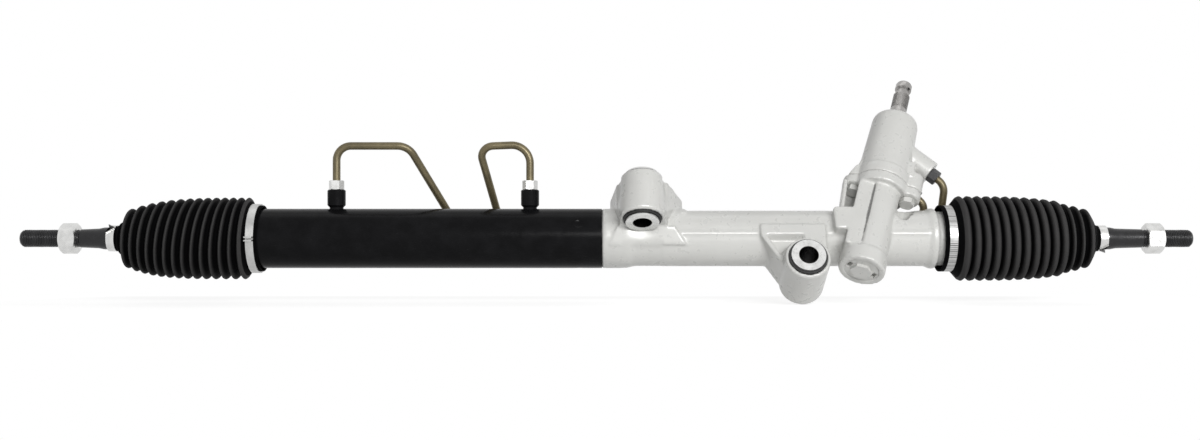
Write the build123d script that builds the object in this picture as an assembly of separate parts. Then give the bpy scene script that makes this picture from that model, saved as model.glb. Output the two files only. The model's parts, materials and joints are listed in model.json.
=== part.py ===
from build123d import *
import math
import os

# Hydraulic rack-and-pinion steering gear, in millimetres.
# The model is drawn about the rack's axis: X runs along the rack, Y points away from the
# side that faces the viewer, Z is up. The last step shifts it all, so that the part's
# origin is the centre of the left mount eye.

# Rack bar and its travel from the rest position
rack_diameter = 25.5
travel_to_left = 80.0
travel_to_right = 64.0
stop_gap = 0.5
stop_inset = 2.5
stop_room_diameter = 40.0
running_gap = 0.08
seat_gap = 0.1
soft_gap = 0.3
cut_over = 1.0

# Gear mesh
pinion_teeth = 8
rack_pitch = 6.0
pressure_angle = 20.0
shaft_angle = 16.8
profile_shift_share = 0.5
addendum_share = 0.85
root_room_share = 0.25
pinion_root_share = 0.7
flank_backlash = 0.06
axis_distance = 17.0
pinion_face = 38.0
gear_sections = 7
flank_points = 5

# Places along the rack
pinion_x = 244.0
cylinder_left_x = -321.0
cylinder_right_x = 1.8
housing_right_x = 318.0
left_port_x = -239.5
right_port_x = -63.6
left_eye_x = 37.4
right_eye_x = 181.0

# Cylinder tube and what is in it
cylinder_diameter = 54.0
cylinder_wall = 3.5
crimp_inset = 20.8
crimp_diameter = 9.0
crimp_depth = 1.2
crimp_count = 3
crimp_angle = 30.0
port_hole_diameter = 5.0
port_boss_diameter = 16.5
port_boss_height = 17.4
port_boss_chamfer = 1.0
port_boss_foot_diameter = 12.5
port_boss_foot_height = 3.2
port_seat_depth = 12.0
flare_nut_flats = 12.0
flare_nut_height = 8.3
flare_nut_neck = 10.0
bush_length = 46.0
bush_seal_length = 9.0
bush_lip = 2.0
inner_seal_length = 9.0
backup_length = 4.0
piston_width = 18.0
piston_gap = 0.4
piston_ring_width = 6.0
piston_ring_depth = 2.0

# Rack housing
housing_tube_diameter = 50.5
housing_bore_diameter = 32.0
housing_spigot_inset = 39.8
collar_length = 25.5
end_ring_diameter = 55.0
end_ring_length = 9.0
cuff_seat_diameter = 49.0
cuff_seat_length = 15.0
seat_lip_height = 1.2
seat_lip_length = 3.0
parting_rib_width = 2.4
parting_rib_height = 1.0
parting_angle = -11.4
end_chamfer = 1.0

# Mount eyes: tilt is the angle of the bolt axis below or above the line of sight
eye_axis_distance = 41.8
left_eye_tilt = -61.0
right_eye_tilt = 30.0
left_eye_near = 2.9
left_eye_length = 41.0
left_eye_diameter = 41.5
right_eye_near = 41.7
right_eye_length = 54.0
right_eye_diameter = 40.0
left_skirt_left_half = 28.0
left_skirt_right_half = 38.0
left_skirt_reach = 38.0
pad_left = 29.0
pad_right = 39.5
pad_drop = 5.6
pad_proud = 0.6
right_skirt_half = 38.0
right_skirt_reach = 30.0
right_skirt_inset = 14.0
bush_diameter = 33.5
sleeve_diameter = 22.0
sleeve_flange_diameter = 30.0
sleeve_flange_length = 2.0
sleeve_bore = 16.2
sleeve_proud = 4.0
bush_proud = 1.5
eye_chamfer = 1.5

# Pinion tower, heights measured along the pinion's axis from the rack crossing
tower_lean_y = 0.588
tower_lean_z = 0.809
column_diameter = 38.4
foot_diameter = 41.5
foot_low = -49.0
foot_high = -34.0
tower_top = 48.0
head_low = 38.0
head_diameter = 50.0
ear_diameter = 22.0
left_ear_reach = 23.5
right_ear_reach = 26.0
ear_low = 39.0
right_ear_high = 66.0
plug_bore_diameter = 30.0
plug_low = -48.0
plug_high = -36.2
plug_relief_diameter = 17.0
plug_relief_depth = 3.0
plug_hex_flats = 17.0
plug_hex_height = 3.0
plug_slot_reach = 12.0
plug_slot_length = 8.0
plug_slot_width = 3.5
plug_slot_depth = 4.0
plug_turn = 20.0
lower_bearing_outer = 28.0
lower_bearing_inner = 12.0
lower_bearing_low = -36.0
lower_bearing_high = -26.0
bearing_race = 2.4
bearing_ball = 4.6
bearing_balls = 8
pinion_room_diameter = 25.0
upper_bearing_outer = 32.0
upper_bearing_low = 22.0
upper_bearing_high = 36.0
pinion_seal_high = 43.0
pinion_journal_diameter = 20.0

# Valve housing and what turns in it
valve_flange_high = 59.5
bell_low_diameter = 47.0
bell_high_diameter = 43.0
bell_top = 129.5
bell_round = 6.5
valve_bore_diameter = 35.0
valve_room_high = 108.0
sleeve_low = 60.0
sleeve_high = 104.0
valve_rotor_diameter = 22.0
sleeve_ring_count = 4
sleeve_ring_width = 2.0
sleeve_ring_depth = 1.2
valve_groove_width = 6.0
input_bearing_outer = 26.0
input_bearing_low = 109.0
input_bearing_high = 118.0
input_seal_high = 125.5
input_seal_outer = 28.0
input_journal_diameter = 18.0
input_shaft_diameter = 15.5
input_shaft_tip = 178.0
input_shoulder = 141.0
pinch_groove_centre = 166.0
pinch_groove_width = 7.0
pinch_groove_diameter = 11.5
tip_chamfer = 1.0
torsion_bar_diameter = 7.2
torsion_bar_head = 8.4
torsion_bar_low = 28.0
torsion_bar_high = 176.5
torsion_bar_head_length = 12.0
torsion_pin_diameter = 3.0
dust_cover_height = 5.0
dust_cover_diameter = 27.0
o_ring_section = 2.4
valve_bolt_diameter = 8.0
valve_bolt_flats = 12.0
valve_bolt_head = 5.5
valve_bolt_engage = 22.0

# Hydraulic ports on the valve housing
upper_port_diameter = 23.5
lower_port_diameter = 20.0
upper_port_height = 100.0
upper_port_reach = 45.8
upper_port_turn = -8.5
lower_port_height = 73.7
lower_port_reach = 33.4
lower_port_turn = -23.0
spot_face_diameter = 17.0
port_slope_share = 0.45
supply_port_height = 92.0
return_port_height = 74.0
supply_port_diameter = 22.0
supply_thread_bore = 14.5
return_thread_bore = 12.5
supply_port_reach = 34.0
supply_port_depth = 13.0

# Yoke, on the far side of the rack from the pinion
yoke_diameter = 28.0
yoke_length = 15.0
yoke_boss_diameter = 38.0
yoke_boss_reach = 38.0
yoke_gap = 1.0
yoke_spring_pocket = 9.0
yoke_spring_diameter = 18.0
yoke_spring_wire = 3.0
yoke_spring_turns = 3
yoke_plug_length = 14.0
yoke_plug_flats = 20.0
yoke_plug_hex_height = 4.5
yoke_nut_flats = 34.0
yoke_nut_height = 5.0

# Inner ball joints and tie rods
ball_diameter = 26.0
seat_wall = 2.0
socket_diameter = 37.0
socket_back = 21.0
socket_front = 8.4
socket_opening_angle = 57.0
socket_flats = 32.0
socket_flats_length = 9.0
washer_diameter = 34.0
washer_thickness = 2.0
rack_thread_diameter = 16.0
rack_thread_depth = 18.0
rod_neck_diameter = 14.0
rod_neck_end = 24.0
rod_body_diameter = 20.0
rod_body_start = 31.0
clamp_seat_from_ball = 39.0
clamp_seat_diameter = 15.6
clamp_seat_length = 10.0
rod_waist_diameter = 16.6
stud_diameter = 16.0
nut_thread_diameter = 15.0
left_stud_tip = 119.4
right_stud_tip = 118.0
left_nut_from_ball = 68.0
right_nut_from_ball = 76.0
jam_nut_flats = 24.0
jam_nut_height = 15.0

# Bellows and clamps
fold_count = 14
bellows_large_diameter = 74.8
bellows_small_diameter = 54.0
fold_depth = 5.4
fold_crest = 1.8
bellows_wall = 1.5
left_swell_power = 4.2
right_swell_power = 3.5
left_first_crest_x = -320.0
right_first_crest_x = 326.0
last_crest_from_ball = 20.5
left_cuff_overlap = 18.3
right_cuff_overlap = 13.5
cuff_wall = 3.0
neck_wall = 2.2
large_clamp_width = 7.0
large_clamp_thickness = 1.2
left_large_clamp_inset = 9.5
right_large_clamp_inset = 3.3
clamp_ear_height = 5.0
clamp_ear_width = 3.0
small_clamp_width = 7.0
small_clamp_thickness = 1.2

# Pressure pipes: both arch over the cylinder, run behind it and rise to the valve housing
pipe_diameter = 7.0
pipe_bore = 4.6
pipe_bend = 13.0
pipe_back_y = 34.5
left_pipe_back_z = 9.5
left_pipe_top_z = 84.1
left_pipe_turn_x = -174.5
left_pipe_behind_x = -132.9
left_pipe_bend_over = 16.0
left_pipe_rise_x = 316.5
left_pipe_end_run = 17.0
right_pipe_back_z = 19.0
right_pipe_top_z = 85.4
right_pipe_drop_z = 1.8
right_pipe_turn_x = -110.4
right_pipe_behind_x = -94.4
right_pipe_bend_over = 16.5
right_pipe_bend_tight = 11.0
right_pipe_rise_x = 288.0
right_pipe_end_run = 30.0
right_pipe_bend_end = 9.0

# Web, rib and flat boss on the tower's left, and the lug below them
web_front = -3.0
web_back = 11.0
web_low = -12.0
rib_front = -12.0
rib_width = 4.0
rib_top_reach = 34.0
rib_low_reach = 29.5
flat_front = -17.0
flat_left = 20.0
flat_right = 5.0
flat_groove_width = 1.4
flat_groove_depth = 0.5
gusset_high = 70.0
gusset_bend = 58.7
gusset_bend_reach = 25.2
gusset_low_reach = 30.7
gusset_half = 9.0
lug_offset = 25.2
lug_drop = 7.6
lug_width = 18.5
lug_length = 24.0
lug_round = 3.0
lug_low = -14.0
lug_high = 17.0

BASE = (Align.CENTER, Align.CENTER, Align.MIN)
PINION_AXIS = Vector(
    math.sin(math.radians(shaft_angle)),
    math.cos(math.radians(shaft_angle)) * tower_lean_y,
    math.cos(math.radians(shaft_angle)) * tower_lean_z,
).normalized()
RACK_AXIS = Vector(1, 0, 0)
TOOTH_LINE = Vector(0, tower_lean_y, tower_lean_z).normalized()
MESH_NORMAL = RACK_AXIS.cross(TOOTH_LINE)
TOWER_X = (RACK_AXIS - PINION_AXIS * PINION_AXIS.dot(RACK_AXIS)).normalized()

rack_line = Plane(origin=(0, 0, 0), x_dir=(0, 0, 1), z_dir=RACK_AXIS)
tower = Plane(
    origin=Vector(pinion_x, 0, 0) + MESH_NORMAL * axis_distance,
    x_dir=TOWER_X,
    z_dir=PINION_AXIS,
)
yoke_line = Plane(origin=(pinion_x, 0, 0), x_dir=RACK_AXIS, z_dir=MESH_NORMAL * -1)
tooth_plane = Plane(origin=(pinion_x, 0, 0), x_dir=RACK_AXIS, z_dir=TOOTH_LINE * -1)

rack_radius = rack_diameter / 2
normal_module = rack_pitch / math.pi
pitch_radius = pinion_teeth * normal_module / 2 / math.cos(math.radians(shaft_angle))
mesh_distance = pitch_radius + profile_shift_share * normal_module
pinion_tip_radius = mesh_distance + addendum_share * normal_module
pinion_root_radius = pitch_radius - pinion_root_share * normal_module
rack_reference = axis_distance - mesh_distance
rack_tooth_tip = rack_reference + addendum_share * normal_module
rack_tooth_root = axis_distance - pinion_tip_radius - root_room_share * normal_module
cylinder_radius = cylinder_diameter / 2
cylinder_bore_radius = cylinder_radius - cylinder_wall
housing_left_x = cylinder_right_x - housing_spigot_inset
left_stop_x = cylinder_left_x + stop_inset
right_stop_x = housing_right_x - stop_inset
rack_left_x = left_stop_x - stop_gap - travel_to_right
rack_right_x = right_stop_x + stop_gap + travel_to_left
left_ball_x = rack_left_x - washer_thickness - socket_back
right_ball_x = rack_right_x + washer_thickness + socket_back
stroke = travel_to_left + travel_to_right
cylinder_seat = cylinder_radius + port_boss_height
piston_x = (left_port_x + right_port_x) / 2 + (travel_to_left - travel_to_right) / 2


def stub(plane, diameter, low, high):
    """Plain cylinder about a plane's normal, from one height to another."""
    return plane * Pos(0, 0, low) * Cylinder(diameter / 2, high - low, align=BASE)


def pipe_ring(plane, outer, inner, low, high):
    """Plain ring about a plane's normal."""
    hole = stub(plane, inner, low - cut_over, high + cut_over)
    return stub(plane, outer, low, high) - hole


def turned(plane, outline):
    """Solid turned about a plane's normal from (height, radius) points."""
    points = [(radius, 0, height) for height, radius in outline]
    face = Face(Wire.make_polygon(points, close=True))
    return plane * revolve(face, axis=Axis.Z)


def hex_bar(plane, flats, low, high):
    """Hexagonal bar about a plane's normal, given its size across flats."""
    section = RegularPolygon(flats / math.sqrt(3), 6)
    return plane * Pos(0, 0, low) * extrude(section, high - low)


def hex_nut(plane, flats, low, high, bore):
    """Hexagon nut with turned corners and a plain bore."""
    corner = flats / math.sqrt(3)
    drop = (corner - flats / 2) / math.sqrt(3)
    barrel = turned(plane, [
        (low, 0),
        (low, flats / 2),
        (low + drop, corner),
        (high - drop, corner),
        (high, flats / 2),
        (high, 0),
    ])
    body = hex_bar(plane, flats, low, high) & barrel
    if bore:
        body -= stub(plane, bore, low - cut_over, high + cut_over)
    return body


def eye_plane(x, tilt, near):
    """Plane on the near face of a mount eye, its normal running into the eye."""
    inward = Vector(0, math.cos(math.radians(tilt)), -math.sin(math.radians(tilt)))
    across = inward.cross(RACK_AXIS)
    toward_rack = 1 if tilt < 0 else -1
    foot = Vector(x, 0, 0) - across * (eye_axis_distance * toward_rack)
    return Plane(origin=foot - inward * near, x_dir=RACK_AXIS, z_dir=inward), toward_rack


left_eye, left_eye_side = eye_plane(left_eye_x, left_eye_tilt, left_eye_near)
right_eye, right_eye_side = eye_plane(right_eye_x, right_eye_tilt, right_eye_near)
left_eye_centre = left_eye.origin + left_eye.z_dir * (left_eye_length / 2)
right_eye_centre = right_eye.origin + right_eye.z_dir * (right_eye_length / 2)


def eye_body(plane, side, diameter, length, left_half, right_half, reach, inset):
    """Mount eye: a barrel on a skirt that widens to the housing tube."""
    radius = diameter / 2
    skirt_outline = Wire.make_polygon([
        (-radius, 0, 0),
        (radius, 0, 0),
        (right_half, side * reach, 0),
        (right_half, side * eye_axis_distance, 0),
        (-left_half, side * eye_axis_distance, 0),
        (-left_half, side * reach, 0),
    ], close=True)
    skirt = plane * Pos(0, 0, inset) * extrude(Face(skirt_outline), length - inset, dir=(0, 0, 1))
    barrel = turned(plane, [
        (0, 0),
        (0, radius - eye_chamfer),
        (eye_chamfer, radius),
        (length - eye_chamfer, radius),
        (length, radius - eye_chamfer),
        (length, 0),
    ])
    return barrel + skirt


def tower_plate(outline, front, back):
    """Plate with an outline in the tower's x and height, from its front to its back."""
    face = Face(Wire.make_polygon([(x, front, height) for x, height in outline], close=True))
    return tower * extrude(face, back - front, dir=(0, 1, 0))


def tower_web():
    """Web with an edge rib that ties the tower's left ear to the tube."""
    floor = [(0, ear_low), (-rib_top_reach, ear_low), (-rib_low_reach, web_low), (0, web_low)]
    rib = [
        (rib_width - rib_top_reach, ear_low),
        (-rib_top_reach, ear_low),
        (-rib_low_reach, web_low),
        (rib_width - rib_low_reach, web_low),
    ]
    return tower_plate(floor, web_front, web_back) + tower_plate(rib, rib_front, web_back)


def flat_outline(left, right):
    """Outline of an upright strip between the tower's foot and its head."""
    return [(-left, head_low), (-right, head_low), (-right, foot_high), (-left, foot_high)]


def flat_boss():
    """Flat boss on the tower's left front."""
    return tower_plate(flat_outline(flat_left, flat_right), flat_front, 0)


def flat_cut():
    """Room in front of the flat boss, with the groove along its right edge."""
    over = -column_diameter
    groove = tower_plate(
        flat_outline(flat_right + flat_groove_width, flat_right), over, flat_front + flat_groove_depth
    )
    return tower_plate(flat_outline(flat_left + cut_over, flat_right), over, flat_front) + groove


def valve_gusset():
    """Sloping gusset from the valve housing's left ear up to its bell."""
    return tower_plate([
        (0, gusset_high),
        (-bell_low_diameter / 2 + cut_over, gusset_high),
        (-gusset_bend_reach, gusset_bend),
        (-gusset_low_reach, tower_top),
        (0, tower_top),
    ], -gusset_half, gusset_half)


def ear_lines():
    """Planes on the axes of the left and right ears."""
    return tower * Pos(-left_ear_reach, 0, 0), tower * Pos(right_ear_reach, 0, 0)


def guide_lug():
    """Square cast lug on the tower's left, in line with the rack."""
    centre = tower.origin - tower.x_dir * lug_offset - tower.z_dir * lug_drop
    face = Plane(origin=centre, x_dir=RACK_AXIS, z_dir=MESH_NORMAL)
    section = RectangleRounded(lug_width, lug_length, lug_round)
    lug = extrude(section, lug_high - lug_low)
    lug = chamfer(lug.faces().sort_by(Axis.Z)[-1].edges(), end_chamfer)
    return face * Pos(0, 0, lug_low) * lug


def eye_pad():
    """Pad on the tube's front that carries the left eye's near face down to the parting rib."""
    drop = left_eye.z_dir.Z
    run = left_eye.z_dir.Y
    front = -cylinder_radius - pad_proud
    outline = Face(Wire.make_polygon([
        (left_eye_x - pad_left, front, -pad_drop),
        (left_eye_x - pad_left, front, (-left_eye_near - run * front) / drop),
        (left_eye_x - pad_left, 0, -left_eye_near / drop),
        (left_eye_x - pad_left, 0, -pad_drop),
    ], close=True))
    return extrude(outline, pad_left + pad_right, dir=(1, 0, 0))


def tower_head():
    """Joint flange at the tower's top, with an ear for each bolt."""
    head = stub(tower, head_diameter, head_low, tower_top)
    for ear_line in ear_lines():
        head += stub(ear_line, ear_diameter, ear_low, tower_top)
    return head


def port_direction(turn):
    """Direction of a slanted port: out to the right, turned about the tower, and down."""
    out = tower.x_dir * math.cos(math.radians(turn))
    out -= tower.y_dir * math.sin(math.radians(turn))
    return (out - tower.z_dir * port_slope_share).normalized()


def port_plane(height, turn):
    """Plane at a port's root on the tower axis, its normal along the port."""
    root = tower.origin + tower.z_dir * height
    return Plane(origin=root, x_dir=tower.y_dir, z_dir=port_direction(turn))


def rack_housing():
    """Cast housing: tube, spigot, mount eyes, tower, yoke boss and end ring."""
    tube_radius = housing_tube_diameter / 2
    ring_left = housing_right_x - cuff_seat_length - end_ring_length
    ring_right = housing_right_x - cuff_seat_length
    seat_radius = cuff_seat_diameter / 2
    lip_radius = seat_radius + seat_lip_height
    body = turned(rack_line, [
        (housing_left_x, 0),
        (housing_left_x, cylinder_bore_radius),
        (cylinder_right_x, cylinder_bore_radius),
        (cylinder_right_x, cylinder_radius),
        (cylinder_right_x + collar_length, cylinder_radius),
        (cylinder_right_x + collar_length, tube_radius),
        (ring_left, tube_radius),
        (ring_left + end_ring_length / 2, end_ring_diameter / 2),
        (ring_right, end_ring_diameter / 2),
        (ring_right, seat_radius),
        (housing_right_x - seat_lip_length, seat_radius),
        (housing_right_x - seat_lip_length, lip_radius),
        (housing_right_x - seat_lip_length / 3, lip_radius),
        (housing_right_x, seat_radius),
        (housing_right_x, 0),
    ])
    rib_start = cylinder_right_x + collar_length
    rib_length = ring_left - rib_start
    rib_across = housing_tube_diameter + 2 * parting_rib_height
    rib = Pos(rib_start + rib_length / 2, 0, 0) * Rot(parting_angle, 0, 0) * Box(
        rib_length, rib_across, parting_rib_width
    )
    body += rib
    body += eye_body(
        left_eye, left_eye_side, left_eye_diameter, left_eye_length,
        left_skirt_left_half, left_skirt_right_half, left_skirt_reach, 0,
    )
    body += eye_body(
        right_eye, right_eye_side, right_eye_diameter, right_eye_length,
        right_skirt_half, right_eye_diameter / 2, right_skirt_reach, right_skirt_inset,
    )
    body += stub(tower, column_diameter, foot_low + cut_over, tower_top)
    body += stub(tower, foot_diameter, foot_low, foot_high)
    body += flat_boss()
    body -= flat_cut()
    body += tower_head()
    body += tower_web()
    body += guide_lug()
    body += eye_pad()
    body += stub(yoke_line, yoke_boss_diameter, 0, yoke_boss_reach)

    body -= stub(rack_line, housing_bore_diameter, housing_left_x - cut_over, housing_right_x + cut_over)
    body -= stub(rack_line, stop_room_diameter, right_stop_x, housing_right_x + cut_over)
    for plane, length in ((left_eye, left_eye_length), (right_eye, right_eye_length)):
        body -= stub(plane, bush_diameter + 2 * eye_chamfer, -bush_diameter, 0)
        body -= stub(plane, bush_diameter, -cut_over, length + cut_over)
    body -= stub(tower, plug_bore_diameter, foot_low - cut_over, lower_bearing_low)
    body -= stub(tower, lower_bearing_outer, lower_bearing_low, lower_bearing_high)
    body -= stub(tower, pinion_room_diameter, lower_bearing_high, upper_bearing_low)
    body -= stub(tower, upper_bearing_outer, upper_bearing_low, tower_top + cut_over)
    body -= stub(yoke_line, yoke_diameter + 2 * running_gap, 0, yoke_boss_reach + cut_over)
    for ear_line in ear_lines():
        body -= stub(ear_line, valve_bolt_diameter + 2 * seat_gap, ear_low - cut_over, tower_top + cut_over)
        below = ear_low - valve_bolt_head
        body -= stub(ear_line, valve_bolt_flats * 4 / 3, below - valve_bolt_engage, ear_low)
    return body


def cylinder_tube():
    """Steel cylinder tube with a ring of crimps and two port holes."""
    tube = pipe_ring(
        rack_line, cylinder_diameter, 2 * cylinder_bore_radius, cylinder_left_x, cylinder_right_x
    )
    for port_x in (left_port_x, right_port_x):
        tube -= Pos(port_x, 0, 0) * Cylinder(port_hole_diameter / 2, cylinder_diameter, align=BASE)
    dimple_radius = (crimp_diameter ** 2 / 4 + crimp_depth ** 2) / (2 * crimp_depth)
    dimple_reach = cylinder_radius + dimple_radius - crimp_depth
    for index in range(crimp_count):
        turn = math.radians(crimp_angle + index * 360 / crimp_count)
        centre = (
            cylinder_right_x - crimp_inset,
            -dimple_reach * math.cos(turn),
            dimple_reach * math.sin(turn),
        )
        tube -= Pos(*centre) * Sphere(dimple_radius)
    return tube


def port_line(port_x):
    """Plane on the rack's axis under a cylinder port, its normal straight up."""
    return Plane(origin=(port_x, 0, 0), x_dir=RACK_AXIS, z_dir=(0, 0, 1))


def port_boss(port_x):
    """Port boss, saddled on the cylinder tube and bored for its flare nut."""
    line = port_line(port_x)
    top = cylinder_radius + port_boss_height
    radius = port_boss_diameter / 2
    foot = port_boss_foot_diameter / 2
    waist = cylinder_radius + port_boss_foot_height
    boss = turned(line, [
        (cylinder_bore_radius, 0),
        (cylinder_bore_radius, foot),
        (waist - (radius - foot), foot),
        (waist, radius),
        (top - port_boss_chamfer, radius),
        (top, radius - port_boss_chamfer),
        (top, 0),
    ])
    boss -= stub(rack_line, cylinder_diameter, port_x - port_boss_diameter, port_x + port_boss_diameter)
    boss -= stub(line, port_hole_diameter, 0, top + cut_over)
    boss -= stub(line, flare_nut_neck, top - port_seat_depth, top + cut_over)
    return boss


def flare_nut(line, seat):
    """Flare nut: a neck down in its port and a hexagon above it."""
    neck = stub(line, flare_nut_neck, seat - port_seat_depth, seat)
    nut = neck + hex_nut(line, flare_nut_flats, seat, seat + flare_nut_height, pipe_diameter)
    bore = pipe_diameter + 2 * seat_gap
    return nut - stub(line, bore, seat - port_seat_depth - cut_over, seat + flare_nut_height + cut_over)


def rack_bush():
    """Bush that guides the rack at the cylinder's left end."""
    low = left_stop_x
    high = low + bush_length
    bore = rack_radius + running_gap
    return turned(rack_line, [
        (low, bore),
        (low, cylinder_bore_radius),
        (high - bush_seal_length, cylinder_bore_radius),
        (high - bush_seal_length, cylinder_bore_radius - bush_lip),
        (high, cylinder_bore_radius - bush_lip),
        (high, bore + bush_lip * 2),
        (high - bush_seal_length, bore + bush_lip * 2),
        (high - bush_seal_length, bore),
    ])


def outer_rack_seal():
    """Lip seal held in the end of the rack bush."""
    high = left_stop_x + bush_length
    low = high - bush_seal_length
    bore = rack_radius + running_gap
    outer = bore + bush_lip * 2
    return turned(rack_line, [
        (low, bore),
        (low, outer),
        (high, outer),
        (high, outer - bush_lip / 2),
        (low + bush_lip, (bore + outer) / 2),
        (high, bore + bush_lip / 2),
        (high, bore),
    ])


def inner_rack_seal():
    """Lip seal at the cylinder's right end, backed by a ring on the housing spigot."""
    high = housing_left_x - backup_length
    low = high - inner_seal_length
    bore = rack_radius + running_gap
    return turned(rack_line, [
        (high, bore),
        (high, cylinder_bore_radius),
        (low, cylinder_bore_radius),
        (low, cylinder_bore_radius - bush_lip),
        (high - bush_lip, (bore + cylinder_bore_radius) / 2),
        (low, bore + bush_lip),
        (low, bore),
    ])


def rack_bar():
    """Rack: round bar with straight teeth cut across a flat, and a thread at each end."""
    bar = turned(rack_line, [
        (rack_left_x, 0),
        (rack_left_x, rack_radius - end_chamfer),
        (rack_left_x + end_chamfer, rack_radius),
        (rack_right_x - end_chamfer, rack_radius),
        (rack_right_x, rack_radius - end_chamfer),
        (rack_right_x, 0),
    ])
    spaces = math.ceil((stroke + 4 * rack_pitch) / rack_pitch)
    first = -math.floor((travel_to_right + 2 * rack_pitch) / rack_pitch)
    slope = math.tan(math.radians(pressure_angle))
    half_ref = rack_pitch / 4 + flank_backlash
    half_tip = half_ref + slope * (rack_tooth_tip - rack_reference)
    half_root = half_ref - slope * (rack_reference - rack_tooth_root)
    above = rack_radius + cut_over
    start = (first - 1) * rack_pitch
    finish = (first + spaces) * rack_pitch
    outline = [(finish, above), (start, above), (start, rack_tooth_tip)]
    for index in range(first, first + spaces):
        centre = index * rack_pitch
        outline += [
            (centre - half_tip, rack_tooth_tip),
            (centre - half_root, rack_tooth_root),
            (centre + half_root, rack_tooth_root),
            (centre + half_tip, rack_tooth_tip),
        ]
    outline.append((finish, rack_tooth_tip))
    comb = Face(Wire.make_polygon([(x, y, 0) for x, y in outline], close=True))
    bar -= tooth_plane * extrude(comb, rack_diameter, dir=(0, 0, 1), both=True)
    for end_x, side in ((rack_left_x, 1), (rack_right_x, -1)):
        low, high = sorted((end_x - side * cut_over, end_x + side * rack_thread_depth))
        bar -= stub(rack_line, rack_thread_diameter, low, high)
    return bar


def piston():
    """Piston pressed on the rack, grooved for its ring."""
    radius = cylinder_bore_radius - piston_gap
    low = piston_x - piston_width / 2
    high = piston_x + piston_width / 2
    groove_low = piston_x - piston_ring_width / 2
    groove_high = piston_x + piston_ring_width / 2
    return turned(rack_line, [
        (low, rack_radius),
        (low, radius - end_chamfer),
        (low + end_chamfer, radius),
        (groove_low, radius),
        (groove_low, radius - piston_ring_depth),
        (groove_high, radius - piston_ring_depth),
        (groove_high, radius),
        (high - end_chamfer, radius),
        (high, radius - end_chamfer),
        (high, rack_radius),
    ])


def piston_ring():
    """Sliding ring in the piston's groove."""
    radius = cylinder_bore_radius - piston_gap
    return pipe_ring(
        rack_line,
        2 * (cylinder_bore_radius - running_gap),
        2 * (radius - piston_ring_depth),
        piston_x - piston_ring_width / 2,
        piston_x + piston_ring_width / 2,
    )


def involute_angle(cosine):
    """Involute function of the angle that has this cosine."""
    angle = math.acos(cosine)
    return math.tan(angle) - angle


def pinion_section(turn):
    """Transverse section of the pinion: involute flanks, round tips and roots."""
    cos_helix = math.cos(math.radians(shaft_angle))
    transverse = math.atan(math.tan(math.radians(pressure_angle)) / cos_helix)
    base_radius = pitch_radius * math.cos(transverse)
    thickness = math.pi * normal_module / cos_helix / 2
    thickness += 2 * profile_shift_share * normal_module * math.tan(transverse)
    thickness -= 2 * flank_backlash
    half_at_base = thickness / 2 / pitch_radius + involute_angle(math.cos(transverse))

    def half_angle(radius):
        if radius <= base_radius:
            return half_at_base
        return half_at_base - involute_angle(base_radius / radius)

    radii = [
        base_radius + (pinion_tip_radius - base_radius) * (index / (flank_points - 1)) ** 2
        for index in range(flank_points)
    ]

    def spot(radius, angle):
        return (radius * math.cos(angle), radius * math.sin(angle), 0)

    step = 2 * math.pi / pinion_teeth
    edges = []
    for tooth in range(pinion_teeth):
        centre = turn + tooth * step
        rise = [spot(r, centre - half_angle(r)) for r in radii]
        fall = [spot(r, centre + half_angle(r)) for r in reversed(radii)]
        root_start = spot(pinion_root_radius, centre - half_at_base)
        root_end = spot(pinion_root_radius, centre + half_at_base)
        next_start = spot(pinion_root_radius, centre + step - half_at_base)
        edges.append(Edge.make_line(root_start, rise[0]))
        edges.append(Edge.make_spline(rise))
        edges.append(Edge.make_three_point_arc(rise[-1], spot(pinion_tip_radius, centre), fall[0]))
        edges.append(Edge.make_spline(fall))
        edges.append(Edge.make_line(fall[-1], root_end))
        edges.append(Edge.make_three_point_arc(root_end, spot(pinion_root_radius, centre + step / 2), next_start))
    return Face(Wire(edges))


def pinion():
    """Helical pinion with its journals and the socket for the valve sleeve."""
    helix = math.tan(math.radians(shaft_angle)) / pitch_radius
    sections = []
    for index in range(gear_sections):
        height = pinion_face * (index / (gear_sections - 1)) - pinion_face / 2
        sections.append(Pos(0, 0, height) * pinion_section(math.pi / 2 + helix * height))
    gear = tower * loft(sections)
    end = pinion_face / 2
    journal = pinion_journal_diameter / 2
    lower = lower_bearing_inner / 2
    socket = valve_rotor_diameter / 2 + bearing_race
    shaft = turned(tower, [
        (lower_bearing_low - cut_over, 0),
        (lower_bearing_low - cut_over, lower - end_chamfer),
        (lower_bearing_low, lower),
        (lower_bearing_high, lower),
        (lower_bearing_high, pinion_root_radius),
        (end, pinion_root_radius),
        (end, journal - end_chamfer),
        (end + end_chamfer, journal),
        (pinion_seal_high + cut_over, journal),
        (pinion_seal_high + cut_over, socket),
        (sleeve_low, socket),
        (sleeve_low, 0),
    ])
    body = gear + shaft
    rotor_room = valve_rotor_diameter + 2 * running_gap
    body -= stub(tower, rotor_room, pinion_seal_high + cut_over * 4, sleeve_low + cut_over)
    body -= stub(tower, torsion_bar_head, torsion_bar_low, sleeve_low)
    return body


def bearing_set(low, high, outer, inner):
    """Outer race, inner race and balls of a ball bearing on the tower's axis."""
    centre = (low + high) / 2
    ball_circle = (outer + inner) / 4
    groove = tower * Pos(0, 0, centre) * Torus(ball_circle, bearing_ball / 2 + running_gap)
    outer_race = pipe_ring(tower, outer, outer - 2 * bearing_race, low, high) - groove
    inner_race = pipe_ring(tower, inner + 2 * bearing_race, inner, low, high) - groove
    balls = []
    for index in range(bearing_balls):
        turn = 2 * math.pi * index / bearing_balls
        place = Pos(ball_circle * math.cos(turn), ball_circle * math.sin(turn), centre)
        balls.append(tower * place * Sphere(bearing_ball / 2))
    return outer_race, inner_race, Compound(children=balls)


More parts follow.
